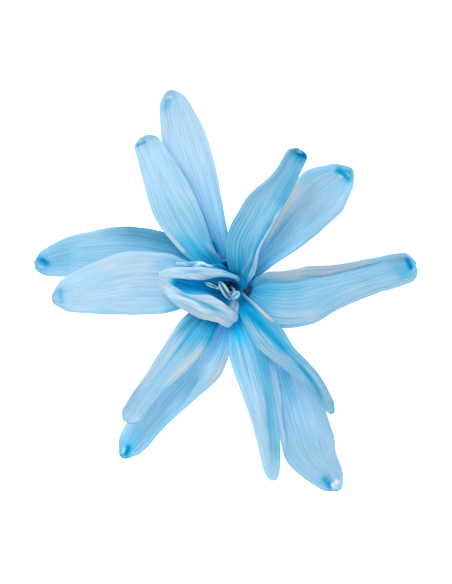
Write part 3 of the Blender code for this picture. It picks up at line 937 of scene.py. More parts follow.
class Nodes:
    """A material and short ways to add nodes to it."""

    def __init__(self, name: str) -> None:
        """Start a material with one Principled shader.

        Args:
            name: The material's name.
        """
        self.material = bpy.data.materials.new(name)
        self.material.use_nodes = True
        self.tree = self.material.node_tree
        self.shader = self.tree.nodes["Principled BSDF"]

    def node(self, kind: str, **settings: object) -> bpy.types.Node:
        """Add a node.

        Args:
            kind: What kind of node.
            **settings: What it is set to, by name.

        Returns:
            The node.
        """
        made = self.tree.nodes.new(kind)
        for name, value in settings.items():
            setattr(made, name, value)
        return made

    def link(self, source: bpy.types.NodeSocket, target: bpy.types.NodeSocket) -> None:
        """Join an output to an input."""
        self.tree.links.new(source, target)

    def put(self, value: object, target: bpy.types.NodeSocket) -> None:
        """Join an output to an input, or set the input to a plain value.

        Args:
            value: The output or the value.
            target: The input.
        """
        if isinstance(value, bpy.types.NodeSocket):
            self.link(value, target)
        else:
            target.default_value = value

    def attribute(self, name: str, output: str = "Fac") -> bpy.types.NodeSocket:
        """Read an attribute of the mesh."""
        return self.node("ShaderNodeAttribute", attribute_name=name).outputs[output]

    def mapped(self, vector: bpy.types.NodeSocket, scale: tuple) -> bpy.types.NodeSocket:
        """Scale coordinates.

        Args:
            vector: The coordinates.
            scale: What each of the three is multiplied by.

        Returns:
            The scaled coordinates.
        """
        made = self.node("ShaderNodeMapping")
        self.link(vector, made.inputs["Vector"])
        made.inputs["Scale"].default_value = scale
        return made.outputs["Vector"]

    def noise(self, vector: bpy.types.NodeSocket, **settings: float) -> bpy.types.NodeSocket:
        """Add noise.

        Args:
            vector: The coordinates that it is read at.
            **settings: Its scale, detail and distortion.

        Returns:
            The noise, from 0 to 1.
        """
        made = self.node("ShaderNodeTexNoise")
        self.link(vector, made.inputs["Vector"])
        for name, value in settings.items():
            made.inputs[name.title()].default_value = value
        return made.outputs["Fac"]

    def math(self, operation: str, *values: object, clamp: bool = False) -> bpy.types.NodeSocket:
        """Reckon with values or outputs.

        Args:
            operation: What to do with them.
            *values: The values or outputs.
            clamp: Whether the result stays between 0 and 1.

        Returns:
            The result.
        """
        made = self.node("ShaderNodeMath", operation=operation, use_clamp=clamp)
        for value, target in zip(values, made.inputs):
            self.put(value, target)
        return made.outputs["Value"]

    def ramp(self, factor: bpy.types.NodeSocket, stops: tuple) -> bpy.types.NodeSocket:
        """Add a colour ramp.

        Args:
            factor: Where on the ramp to read it.
            stops: Its stops, each a position and a linear colour.

        Returns:
            The colour.
        """
        made = self.node("ShaderNodeValToRGB")
        made.color_ramp.interpolation = "LINEAR"
        while len(made.color_ramp.elements) < len(stops):
            made.color_ramp.elements.new(0.5)
        for element, (position, colour) in zip(made.color_ramp.elements, stops):
            element.position = position
            element.color = (*colour, 1.0)
        self.link(factor, made.inputs["Fac"])
        return made.outputs["Color"]

    def mix(self, factor: object, first: object, second: tuple) -> bpy.types.NodeSocket:
        """Mix a colour towards a second, plain one.

        Args:
            factor: How far towards the second, from 0 to 1.
            first: The first colour.
            second: The second, linear.

        Returns:
            The mixed colour.
        """
        made = self.node("ShaderNodeMix", data_type="RGBA")
        self.put(factor, made.inputs["Factor"])
        self.put(first, made.inputs["A"])
        made.inputs["B"].default_value = (*second, 1.0)
        return made.outputs["Result"]

    def scaled(self, colour: bpy.types.NodeSocket, factor: bpy.types.NodeSocket) -> bpy.types.NodeSocket:
        """Make a colour lighter or darker.

        Args:
            colour: The colour.
            factor: What it is multiplied by.

        Returns:
            The lighter or darker colour.
        """
        made = self.node("ShaderNodeVectorMath", operation="SCALE")
        self.link(colour, made.inputs["Vector"])
        self.link(factor, made.inputs["Scale"])
        return made.outputs["Vector"]

    def bump(self, height: bpy.types.NodeSocket, strength: float, distance: float) -> bpy.types.NodeSocket:
        """Turn a height into a bumped normal.

        Args:
            height: The height, from 0 to 1.
            strength: How strongly it tells.
            distance: How high 1 is, in metres.

        Returns:
            The normal.
        """
        made = self.node("ShaderNodeBump")
        made.inputs["Strength"].default_value = strength
        made.inputs["Distance"].default_value = distance
        self.link(height, made.inputs["Height"])
        return made.outputs["Normal"]


class Workbench:
    """Steps that every piece goes through, done with Blender's own operators."""

    @staticmethod
    def clear() -> None:
        """Leave object mode with nothing selected."""
        if bpy.context.object and bpy.context.object.mode != "OBJECT":
            bpy.ops.object.mode_set(mode="OBJECT")
        bpy.ops.object.select_all(action="DESELECT")

    @staticmethod
    def pick(piece: bpy.types.Object) -> None:
        """Select one piece alone, and make it the active one.

        Args:
            piece: The piece.
        """
        Workbench.clear()
        piece.select_set(True)
        bpy.context.view_layer.objects.active = piece

    @staticmethod
    def added(name: str) -> bpy.types.Object:
        """Name the object that an operator has just added.

        Args:
            name: Its name.

        Returns:
            The object.
        """
        made = bpy.context.object
        made.name = made.data.name = name
        return made

    @staticmethod
    def apply(piece: bpy.types.Object, kind: str, **settings: object) -> None:
        """Add a modifier to a piece and apply it.

        Args:
            piece: The piece.
            kind: What kind of modifier.
            **settings: What it is set to, by name.
        """
        Workbench.pick(piece)
        bpy.ops.object.modifier_add(type=kind)
        modifier = piece.modifiers[-1]
        for name, value in settings.items():
            setattr(modifier, name, value)
        bpy.ops.object.modifier_apply(modifier=modifier.name)

    @staticmethod
    def settle(piece: bpy.types.Object) -> None:
        """Put a piece's place into its mesh, and shade it smooth.

        Args:
            piece: The piece.
        """
        Workbench.pick(piece)
        bpy.ops.object.transform_apply(location=True, rotation=True, scale=True)
        bpy.ops.object.shade_smooth()

    @staticmethod
    def join(pieces: list, name: str) -> bpy.types.Object:
        """Join several objects into the first.

        Args:
            pieces: The objects.
            name: What the joined object is called.

        Returns:
            The joined object.
        """
        Workbench.clear()
        for piece in pieces:
            piece.select_set(True)
        bpy.context.view_layer.objects.active = pieces[0]
        if len(pieces) > 1:
            bpy.ops.object.join()
        return Workbench.added(name)

    @staticmethod
    def colour(mesh: bpy.types.Mesh, **layers: np.ndarray) -> None:
        """Give each point of a mesh its colours.

        Args:
            mesh: The mesh.
            **layers: An array for each attribute, by name, with a number or a vector for each point.
        """
        for label, values in layers.items():
            flat = values.ndim == 1
            attribute = mesh.attributes.new(label, "FLOAT" if flat else "FLOAT_VECTOR", "POINT")
            attribute.data.foreach_set("value" if flat else "vector", values.astype(np.float32).ravel())

    @staticmethod
    def finish(piece: bpy.types.Object, material: bpy.types.Material, slot: str, node: str) -> None:
        """Dress a piece, and say which solid it stands for.

        Args:
            piece: The piece.
            material: Its finish.
            slot: Not used.
            node: The solid.
        """
        piece.data.materials.clear()
        piece.data.materials.append(material)
        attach(piece, ROOT)
        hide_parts(node)
        log.info("%s: %d faces, stands for %s", piece.name, len(piece.data.polygons), node)


class PetalMaker:
    """Turns a petal's net into a piece."""

    PATTERN_APART = 1.7

    @staticmethod
    def build(name: str, net: PetalNet) -> bpy.types.Object:
        """Shape a grid into a petal and give it its thickness.

        Args:
            name: The piece's name.
            net: Where its points go, and the dye at each.

        Returns:
            The petal's object, at the origin.
        """
        Workbench.clear()
        bpy.ops.mesh.primitive_grid_add(x_subdivisions=net.columns, y_subdivisions=net.rows, size=2.0)
        piece = Workbench.added(name)
        mesh = piece.data
        corners = np.zeros(len(mesh.vertices) * 3, np.float32)
        mesh.vertices.foreach_get("co", corners)
        corners = corners.reshape(-1, 3)
        column = np.rint((corners[:, 0] + 1) / 2 * net.columns).astype(int)
        row = np.rint((corners[:, 1] + 1) / 2 * net.rows).astype(int)
        mesh.vertices.foreach_set("co", (net.net[row, column] * MM).astype(np.float32).ravel())
        apart = np.full(len(corners), net.seed * PetalMaker.PATTERN_APART)
        vein = np.stack((net.mm_across[0, column], net.distance[row], apart), axis=1)
        # light carries the painted light and shade
        layers = {label: getattr(net, label)[row, column] for label in ("dye", "milk", "cream", "light")}
        Workbench.colour(mesh, **layers, vein=vein)
        mesh.update()
        PetalMaker._weigh(piece, np.abs(net.side[0, column]))
        Workbench.apply(
            piece, "SOLIDIFY", thickness=PETAL_THICKNESS * MM, offset=0.0, use_rim=True, vertex_group="body",
            thickness_vertex_group=MARGIN_THICKNESS_SHARE)
        bpy.ops.object.shade_smooth()
        return piece

    @staticmethod
    def _weigh(piece: bpy.types.Object, side: np.ndarray) -> None:
        """Say where the petal is thick: everywhere but at its two margins.

        Args:
            piece: The petal's object.
            side: How far out each of its points lies, from 0 in the middle to 1 at a margin.
        """
        group = piece.vertex_groups.new(name="body")
        weight = smooth((1 - side) / MARGIN_THINS)
        for step in np.unique(weight):
            group.add(np.flatnonzero(weight == step).tolist(), float(step), "REPLACE")


# The rings of the petals that rise nearer the middle than the rest of their set
OUTER_NEAR = Whorl(3.35, 5.6, 2.65, 7.45, 1.35)
INNER_NEAR = Whorl(1.1, 4.6, 2.0, 8.2, 1.0, bend=(0.95, 7.1))


@dataclass
class Perianth:
    """The tube and the six outer tepals that it opens into.

    Waves round the tube are given by their number, turn and share. The outline goes from the foot up the
    outside, over the rim and down inside.
    """

    node: str = "perianth"
    whorl: Whorl = Whorl(3.5, 5.7, 3.62, 7.3, 1.35)
    first_seed: int = 100
    seed_step: int = 10
    sides: int = 72
    rib_depth: float = 0.035
    rib_waves: tuple = ((12, 0.0, 0.4), (6, 0.5, 0.6))
    ribs_grow: float = 2.0
    throat_floor: float = 2.1
    throat_wall: tuple = (1.5, 2.6, 3.3, 3.5)
    throat_heights: tuple = (2.0, 3.0, 4.5, 7.6)
    throat_dye: float = 0.82
    throat_painted_light: float = 1.9
    outside_dye: float = 0.1
    outside_dye_rise: float = 0.4
    outside_dye_height: float = 7.0
    outside_milk: float = 0.2
    outside_light: float = 0.74
    dye_waves: tuple = ((12, 0.0, 0.06), (29, 1.0, 0.05))
    pattern_radius: float = 3.4
    outline: tuple = (
        (1.9, 0.0), (2.35, 0.25), (2.9, 0.9), (3.3, 2.4), (3.55, 4.4), (3.65, 6.2), (3.78, 7.4), (3.6, 7.55),
        (3.2, 7.45), (3.08, 5.9), (3.02, 4.2), (2.8, 3.0), (2.0, 2.3),
    )
    tepals: tuple = (
        Petal(
            "tepal_top", 106, (-7.6, 24.35, 1.2), (8.3, 6.9, 4.1),
            half_widths=(1.2, 1.45, 2.0, 2.6, 2.75, 2.15, 1.3), bows=(-0.05, 0.05, 0.1), round_tip=1.6,
            cup=(26, 6, 20), tone=0.05, flush=6.0, flush_dye=0.6, tip_dye=0.0, light=0.94, milk=0.2,
            marks=(
                Crease(((-3.0, 9.5), (-4.6, 14.0), (-6.2, 18.5)), 0.3, 0.1, 0.14),
                Crease(((-0.8, 8.0), (-2.2, 14.0), (-4.0, 20.0)), 0.16, 0.06, 0.12),
                # Painted shadow along the edge of the top left petal, in dye and shade
                Crease(((-2.4, 5.8), (-4.6, 11.0), (-7.2, 16.6)), 0.4, 0.12, 0.26, shade=0.08),
                Strip(((-0.9, 6.0), (-0.9, 12.0), (-3.0, 19.0), (-5.2, 23.5)), Margin.RIGHT, milk=0.5,
                      dye=-0.1, soft=0.4),
                Crease(((-8.2, 22.4), (-7.8, 23.5)), 0.65, 0.0, 0.36, -0.3),
                Crease(((-8.3, 23.6), (-7.8, 23.7), (-7.2, 23.6)), 0.16, -0.1, -0.35, 0.3, 0.5),
                Crease(((-1.6, 3.9), (-2.5, 6.0)), 0.3, 0.1, 0.6),
            )),
        Petal(
            "tepal_top_right", 40, (14.9, 14.6, -0.65), (8.2, 6.6, 3.4),
            half_widths=(1.2, 1.5, 2.4, 3.15, 3.4, 2.35, 1.1), bows=(-0.05, 0.35, 0.5), cup=(26, 6, 20),
            tone=0.2, flush=4.0, flush_dye=0.55, tip_dye=0.4, milk=0.08,
            marks=(
                Strip(((3.6, 4.6), (5.6, 7.4), (7.8, 10.4), (9.6, 13.0)), Margin.LEFT, milk=0.3, cream=0.6,
                      dye=-0.1, soft=0.7),
                Crease(((4.0, 4.6), (6.4, 7.6), (8.6, 10.0)), 0.25, 0.08, 0.14),
                Crease(((10.5, 14.4), (12.6, 14.5), (14.4, 14.4)), 0.4, 0.0, 0.2),
                Crease(((12.6, 14.9), (14.0, 14.1), (15.2, 12.8)), 0.55, 0.05, 0.55, -0.4),
                Crease(((14.2, 14.4), (14.9, 13.6)), 0.14, -0.1, -0.4, 0.3),
                Crease(((13.2, 13.9), (14.0, 13.5)), 0.12, -0.1, -0.4, 0.3),
            )),
        Petal(
            "tepal_right", -14, (22.8, 2.65, 3.6), (9.0, 8.0, 6.0), whorl=OUTER_NEAR,
            half_widths=(1.5, 3.85, 4.0, 2.95, 2.4, 2.2, 1.9), bows=(-1.05, -0.9, -0.3), round_tip=1.0,
            cup=(20, -24, -30), flange=(50, 70, 60), tone=0.22, flush=4.2, flush_dye=0.66, tip_dye=0.0,
            milk=0.06,
            marks=(
                # Painted shade in the crease under the turned-up margin, in dye and shade
                Crease(((8.4, 1.75), (10.5, 1.35), (14.0, 1.9), (17.0, 2.8), (20.2, 3.7)), 0.15, 0.1, 0.4,
                       shade=0.1),
                Strip(((8.0, 1.8), (10.5, 1.45), (14.0, 1.95), (18.0, 3.2)), Margin.LEFT, milk=0.25,
                      cream=0.25, dye=-0.08, soft=0.5, shade=0.05),
                Strip(((2.0, 2.0), (5.0, 1.2), (9.6, 0.9)), Margin.LEFT, soft=0.7, cream=0.6),
                Crease(((4.0, -2.4), (8.0, -3.9), (12.0, -2.6)), 1.3, 0.0, -0.08, 0.2, 0.2),
                Crease(((21.7, 3.9), (22.3, 2.9), (22.7, 1.9)), 0.36, 0.14, 0.6, -0.3),
                Crease(((20.6, 2.4), (22.2, 2.6)), 0.8, 0.0, 0.24),
                Crease(((21.3, 1.5), (22.5, 1.9)), 0.4, 0.0, 0.2),
            )),
        Petal(
            "tepal_bottom_right", -62, (13.5, -25.25, -0.69), (8.2, 6.3, 3.4),
            half_widths=(1.2, 1.5, 2.35, 3.2, 3.55, 2.4, 1.2), bows=(0.6, 0.45, -0.95), cup=(26, 6, 20),
            flange=(30, 45, 10), flange_on=Margin.RIGHT, tone=0.15, flush=7.0, flush_dye=0.5, tip_dye=0.0,
            light=1.04,
            marks=(
                Crease(((5.5, -9.4), (6.1, -12.4), (6.6, -17.5), (7.0, -21.0)), 0.14, 0.08, 0.3),
                # Painted light on the turned-up margin, in milk, less dye and shade below 0
                Strip(((5.1, -8.6), (5.9, -12.4), (6.4, -17.5), (6.8, -21.2)), Margin.RIGHT, milk=0.45,
                      dye=-0.15, shade=-0.12),
                Crease(((6.4, -8.6), (7.0, -12.0), (8.2, -15.5)), 0.8, 0.05, 0.2),
                Crease(((11.7, -24.1), (12.4, -25.0)), 0.5, 0.06, 0.55, -0.4),
                Crease(((12.4, -25.2), (12.9, -24.6), (13.6, -24.0)), 0.26, -0.22, -0.6, 0.5, 1.0, -0.3),
                Crease(((12.2, -24.3), (12.6, -25.2)), 0.12, 0.1, 0.8),
            )),
        Petal(
            "tepal_bottom_left", -108, (-13.6, -21.1, 1.4), (8.2, 6.2, 3.6),
            half_widths=(1.4, 2.3, 3.2, 2.55, 2.1, 1.85, 1.1), bows=(0.9, 0.75, 0.15), cup=(24, 6, 22),
            tone=0.24, flush=5.0, flush_dye=0.5, tip_dye=0.0, light=1.11,
            marks=(
                Crease(((-3.6, -10.4), (-5.0, -13.0), (-7.4, -16.2)), 0.14, 0.09, 0.14),
                Strip(((-1.6, -7.0), (-3.6, -11.0), (-6.4, -15.4), (-9.4, -19.0)), Margin.LEFT, milk=0.35,
                      soft=0.4),
                Strip(((-0.6, -7.0), (-2.0, -10.0), (-3.4, -12.4)), Margin.LEFT, cream=0.45, soft=0.6,
                      shade=0.2),
                Crease(((-13.1, -20.9), (-12.8, -20.1)), 0.4, 0.06, 0.5, -0.3),
                Crease(((-13.2, -20.6), (-11.6, -18.6)), 1.0, 0.0, 0.22, -0.1),
                # Painted light at the base, lifting the shade in the gap beside the lower left petal
                Crease(((-1.2, -4.4), (-2.2, -7.0), (-3.2, -9.4)), 1.2, 0.0, -0.06, 0.2, shade=-0.22),
                Crease(((-13.5, -20.7), (-13.35, -20.2)), 0.12, -0.08, -0.4, 0.4, 0.2),
            )),
        Petal(
            "tepal_left", 144, (-24.3, 2.7, -0.68), (8.1, 6.6, 3.7),
            half_widths=(1.6, 2.9, 3.5, 3.7, 3.0, 2.1, 1.2), bows=(-0.75, -1.4, -1.2), round_tip=1.4,
            cup=(26, -8, 20), tone=0.2, flush=5.0, flush_dye=0.5, tip_dye=0.0, light=0.93, pleat=0.7,
            marks=(
                # Painted shade along the upper side, where the top left petal shadows it and the margin turns
                # down
                Crease(((-1.5, 2.6), (-8.0, 6.0), (-17.0, 7.6)), 1.8, 0.3, 0.22, shade=0.3),
                Crease(((-23.8, 3.4), (-23.0, 3.0)), 0.42, 0.08, 0.42, -0.2),
                Crease(((-23.4, 3.5), (-23.1, 3.3)), 0.16, 0.06, 0.35),
                Crease(((-23.4, 2.8), (-20.6, 3.8)), 1.3, 0.0, 0.18, shade=0.04),
                Crease(((-24.2, 2.6), (-23.2, 2.5)), 0.16, -0.08, -0.3, 0.4),
            )),
    )

    def build(self, tissue: bpy.types.Material, tube_tissue: bpy.types.Material) -> None:
        """Model the tube and its tepals.

        Args:
            tissue: The finish of the tepals.
            tube_tissue: The finish of the tube.
        """
        self._tube(tube_tissue)
        for number, tepal in enumerate(self.tepals):
            net = PetalNet(tepal, self.whorl, self.first_seed + self.seed_step * number)
            net.net[..., 2] = np.maximum(net.net[..., 2], PETAL_THICKNESS / 2)
            piece = PetalMaker.build("outer_" + tepal.name, net)
            Workbench.finish(piece, tissue, "tube", self.node)

    def _tube(self, tissue: bpy.types.Material) -> None:
        """Draw the tube out of its flat foot, ring by ring, over the rim and down inside.

        Args:
            tissue: Its finish.
        """
        Workbench.clear()
        radius, height = self.outline[0]
        bpy.ops.mesh.primitive_circle_add(
            vertices=self.sides, radius=radius * MM, fill_type="NGON", location=(0, 0, height * MM))
        piece = Workbench.added("tube")
        Workbench.settle(piece)
        bpy.ops.object.mode_set(mode="EDIT")
        bpy.ops.mesh.select_all(action="SELECT")
        for (old_radius, old_height), (radius, height) in zip(self.outline, self.outline[1:]):
            lift = (0, 0, (height - old_height) * MM)
            bpy.ops.mesh.extrude_region_move(TRANSFORM_OT_translate={"value": lift})
            share = radius / old_radius
            bpy.ops.transform.resize(value=(share, share, 1), center_override=(0, 0, height * MM))
        bpy.ops.mesh.select_all(action="SELECT")
        bpy.ops.mesh.normals_make_consistent(inside=False)
        bpy.ops.object.mode_set(mode="OBJECT")
        for vertex in piece.data.vertices:
            angle = math.atan2(vertex.co.y, vertex.co.x)
            rise = float(smooth(vertex.co.z / (self.ribs_grow * MM)))
            share = 1 + self.rib_depth * rise * float(self._waves(angle, self.rib_waves))
            vertex.co.x *= share
            vertex.co.y *= share
        bpy.ops.object.shade_smooth()
        self._colour_tube(piece.data)
        Workbench.finish(piece, tissue, "tube", self.node)

    @staticmethod
    def _waves(angle: np.ndarray | float, waves: tuple) -> np.ndarray:
        """Add up the waves that run round the tube at an angle in radians."""
        return sum(share * np.cos(number * angle + turn) for number, turn, share in waves)

    def _colour_tube(self, mesh: bpy.types.Mesh) -> None:
        """Give the tube its dye, palest low on the outside and deepest in the throat, with painted light
        brightening the throat and the outside darker.

        Args:
            mesh: The tube's mesh.
        """
        places = np.zeros(len(mesh.vertices) * 3, np.float32)
        mesh.vertices.foreach_get("co", places)
        places = places.reshape(-1, 3) / MM
        height = places[:, 2]
        inside = np.hypot(places[:, 0], places[:, 1]) < through(self.throat_wall, self.throat_heights, height)
        inside &= height > self.throat_floor
        angle = np.arctan2(places[:, 1], places[:, 0])
        rise = self.outside_dye_rise * smooth(height / self.outside_dye_height)
        outside = self.outside_dye + rise + self._waves(angle, self.dye_waves)
        dye = np.where(inside, self.throat_dye, outside)
        Workbench.colour(
            mesh,
            dye=dye,
            milk=np.where(inside, 0.0, self.outside_milk),
            cream=np.zeros_like(dye),
            # painted light brightens the throat, and the outside is darker
            light=np.where(inside, self.throat_painted_light, self.outside_light),
            vein=np.stack((angle * self.pattern_radius, height, np.zeros_like(angle)), axis=1),
        )


@dataclass
class InnerPetals:
    """The six inner petals, which rise from the throat and arch over the tepals."""

    first_seed: int = 200
    seed_step: int = 10
    whorl: Whorl = Whorl(2.4, 4.3, 2.5, 8.0, 0.52)
    petals: tuple = (
        Petal(
            "petal_top_left", 128, (-10.75, 18.45, 6.0), (10.3, 10.2, 8.4),
            half_widths=(0.75, 1.45, 2.35, 2.8, 2.45, 1.95, 1.45), bows=(0.8, 0.9, 0.35), round_tip=0.9,
            cup=(32, 12, 12), flange=(30, 0, 0), tone=0.14, flush=5.6, flush_dye=0.74, tip_dye=0.0,
            light=0.98, milk=0.08,
            marks=(
                Crease(((-7.8, 6.8), (-5.4, 5.1), (-3.4, 3.9), (-0.8, 2.4)), 1.25, 0.1, 0.24, -0.8),
                # The raised left rim, pale as a painted highlight where it stands up into the light
                Strip(((-5.5, 4.2), (-6.9, 5.8), (-8.7, 7.7)), Margin.LEFT, dye=-0.6, milk=0.32, lift=0.2),
                Crease(((-3.5, 6.0), (-2.2, 4.5), (-1.0, 3.4), (0.4, 2.7)), 0.22, -0.1, -0.3, 0.25),
                Crease(((-3.6, 7.4), (-6.0, 12.6), (-7.6, 15.6)), 0.22, 0.06, 0.12),
                Crease(((-11.7, 17.7), (-10.8, 18.1)), 0.25, 0.06, 0.5),
            )),
        Petal(
            "petal_top_right", 40, (8.4, 16.85, 8.6), (10.4, 11.1, 10.3), whorl=INNER_NEAR,
            half_widths=(1.35, 1.95, 2.25, 2.25, 1.7, 1.4, 1.25), bows=(1.4, 1.45, 0.35), round_tip=0.8,
            cup=(32, 40, 55), flange=(30, 0, 0), flange_on=Margin.RIGHT, tone=0.28, flush=5.0, flush_dye=0.78,
            tip_dye=0.0, light=0.97, milk=0.2,
            marks=(
                Strip(((1.8, 0.1), (2.8, 2.9), (3.3, 4.5), (4.3, 6.5), (5.3, 8.2), (6.4, 10.4)), Margin.RIGHT,
                      milk=0.6, soft=0.1, dye=-0.5),
                Crease(((1.7, 0.1), (2.7, 2.9), (3.15, 4.5), (4.15, 6.6), (5.2, 8.4), (6.2, 10.4)), 0.14,
                       0.08, 0.35),
                Crease(((0.9, 1.2), (1.9, 2.6), (2.9, 4.6)), 0.14, -0.05, -0.25, 0.15),
                Crease(((3.4, 4.6), (6.3, 10.0), (9.0, 16.0)), 0.6, 0.0, 0.14, shade=0.06),
                # Painted shade over the rolled upper blade, which turns away from the light, in dye and shade
                Crease(((6.4, 11.0), (7.7, 14.0), (8.9, 17.5)), 1.4, 0.0, 0.16, -0.1, shade=0.1),
                Crease(((7.0, 17.2), (8.4, 16.4), (9.8, 15.4)), 0.6, 0.05, 0.26),
                Crease(((8.3, 16.7), (9.2, 16.3)), 0.26, 0.16, 0.55),
                Crease(((8.1, 17.0), (9.1, 16.8)), 0.12, -0.06, -0.3, 0.5),
            )),
        Petal(
            "petal_right", 312, (12.4, -15.4, 7.4), (11.2, 11.4, 10.4), whorl=INNER_NEAR,
            half_widths=(0.75, 1.45, 1.95, 1.4, 1.1, 0.9, 0.75), bows=(-0.15, -0.2, 0.6),
            cup=(32, 35, 45), flange=(40, 0, 0), tone=0.34, flush=5.4, tip_dye=0.0, light=0.95, milk=0.1,
            marks=(
                Strip(((0.9, -0.6), (2.0, -1.6), (3.5, -2.9), (5.2, -4.4)), Margin.LEFT, milk=0.55, soft=0.1,
                      lift=0.15, dye=-0.45),
                Strip(((2.8, -2.4), (4.0, -3.3), (5.4, -4.6)), Margin.LEFT, cream=0.8, soft=0.15),
                Crease(((0.6, -1.6), (3.6, -4.6), (5.8, -6.8), (8.4, -9.6)), 0.55, 0.12, 0.34, -0.5),
                Crease(((0.9, -1.0), (2.2, -2.1), (4.0, -3.6)), 0.25, 0.06, 0.2),
                Strip(((1.2, -3.2), (3.4, -5.2), (5.8, -7.4), (8.4, -10.0)), Margin.RIGHT, milk=0.2, dye=-0.1,
                      soft=0.5),
                Crease(((1.9, -4.4), (3.6, -6.4), (5.6, -8.4), (7.6, -9.6)), 0.2, -0.1, -0.1, 0.2),
                Crease(((7.4, -8.6), (10.4, -12.2), (11.7, -14.9)), 0.3, 0.1, 0.4, shade=0.08),
                Strip(((8.6, -9.4), (11.0, -12.2), (12.2, -14.9)), Margin.LEFT, milk=0.12, dye=-0.06,
                      soft=0.3),
            )),
        Petal(
            "petal_bottom", 269, (5.25, -23.85, 4.2), (9.9, 9.9, 7.8),
            half_widths=(0.7, 1.4, 2.2, 1.9, 1.55, 1.27, 0.9), bows=(0.4, 0.7, 0.6),
            cup=(30, -24, -35), hood=30, tone=0.14, flush=5.2, flush_dye=0.9, tip_dye=0.0, light=1.07,
            milk=0.06,
            marks=(
                # Painted light at the base, lifting the shadow of the folded petal
                Crease(((0.2, -4.2), (1.1, -6.4)), 1.0, 0.0, 0.2, -0.3, shade=-0.32),
                Crease(((0.9, -5.0), (2.0, -8.6), (3.1, -13.6), (4.0, -19.0)), 0.14, -0.08, -0.1, 0.1),
                Crease(((0.3, -5.4), (1.2, -9.0), (2.2, -13.4)), 0.12, -0.06, -0.1, 0.1),
                Crease(((0.6, -5.0), (1.7, -8.8), (2.7, -13.6)), 0.14, 0.08, 0.12, shade=0.06),
                # Painted shade down the right half, which turns away from the light, in dye and shade
                Strip(((2.4, -6.6), (3.6, -11.0), (4.3, -15.4), (4.7, -19.5), (5.0, -23.4)), Margin.LEFT,
                      dye=0.18, soft=0.45, shade=0.08),
                Crease(((2.2, -5.0), (3.9, -9.8), (4.8, -16.0), (5.1, -23.6)), 0.55, 0.0, 0.12, -0.2),
                Crease(((4.1, -11.4), (4.8, -16.6), (5.2, -22.0)), 0.15, 0.08, 0.12),
            )),
        Petal(
            "petal_bottom_left", 230, (-12.9, -16.6, 6.0), (9.8, 9.9, 8.0),
            half_widths=(0.7, 1.8, 2.4, 2.05, 1.55, 1.45, 1.25), bows=(-0.1, -0.05, -0.2), round_tip=1.2,
            cup=(32, 10, 20), flange=(0, 26, 10), flange_on=Margin.RIGHT, tone=0.14, flush=6.2, tip_dye=0.0,
            marks=(
                Crease(((-5.3, -5.6), (-7.0, -8.2), (-8.8, -10.6), (-11.4, -13.0)), 0.12, 0.12, 0.22,
                       shade=0.08),
                # The turned-up margin, paler lilac, with painted light where it stands in shade
                Strip(((-4.8, -4.6), (-6.8, -8.0), (-8.8, -10.6), (-12.0, -13.8)), Margin.RIGHT, milk=0.3,
                      dye=-0.12, shade=-0.1),
                Crease(((-2.6, -6.6), (-5.0, -9.2), (-8.2, -12.8)), 0.65, 0.0, -0.05, 0.3, 0.54, 0.05),
                Crease(((-0.4, -2.0), (-3.2, -5.2), (-6.0, -8.8)), 1.5, 0.0, 0.16, -0.4),
                Crease(((-12.2, -16.4), (-10.4, -16.9)), 0.2, -0.08, -0.1, 0.5),
            )),
        Petal(
            "petal_left", 174, (-22.0, -1.45, 4.2), (9.7, 9.3, 7.2),
            half_widths=(0.75, 2.5, 3.75, 3.9, 3.25, 2.4, 1.4), bows=(-0.45, -1.0, -0.7),
            cup=(30, -10, 20), tone=0.08, flush=3.0, flush_dye=0.6, tip_dye=0.0, pleat=0.6,
            marks=(
                Crease(((-8.0, 2.6), (-14.0, 2.9), (-19.0, 1.6)), 1.0, 0.0, 0.0, 0.2, 0.2),
                Crease(((-10.6, 2.8), (-7.6, 3.2), (-5.0, 3.0)), 0.6, 0.0, 0.2, -0.2),
                Crease(((-7.6, -2.8), (-5.4, -2.6), (-4.0, -2.2)), 0.9, 0.0, 0.25, -0.2),
                Crease(((-21.3, -0.5), (-21.3, -1.7)), 0.45, 0.05, 0.3, -0.2),
                Crease(((-21.0, -1.0), (-19.4, -1.6)), 1.1, 0.0, 0.1),
                Crease(((-21.9, -1.7), (-21.0, -1.6)), 0.14, -0.06, -0.2, 0.3),
            )),
    )

    def build(self, tissue: bpy.types.Material) -> None:
        """Model each petal in the place of its solid.

        Args:
            tissue: The petals' finish.
        """
        for number, petal in enumerate(self.petals):
            net = PetalNet(petal, self.whorl, self.first_seed + self.seed_step * number)
            piece = PetalMaker.build("inner_" + petal.name, net)
            Workbench.finish(piece, tissue, "petal", petal.name)


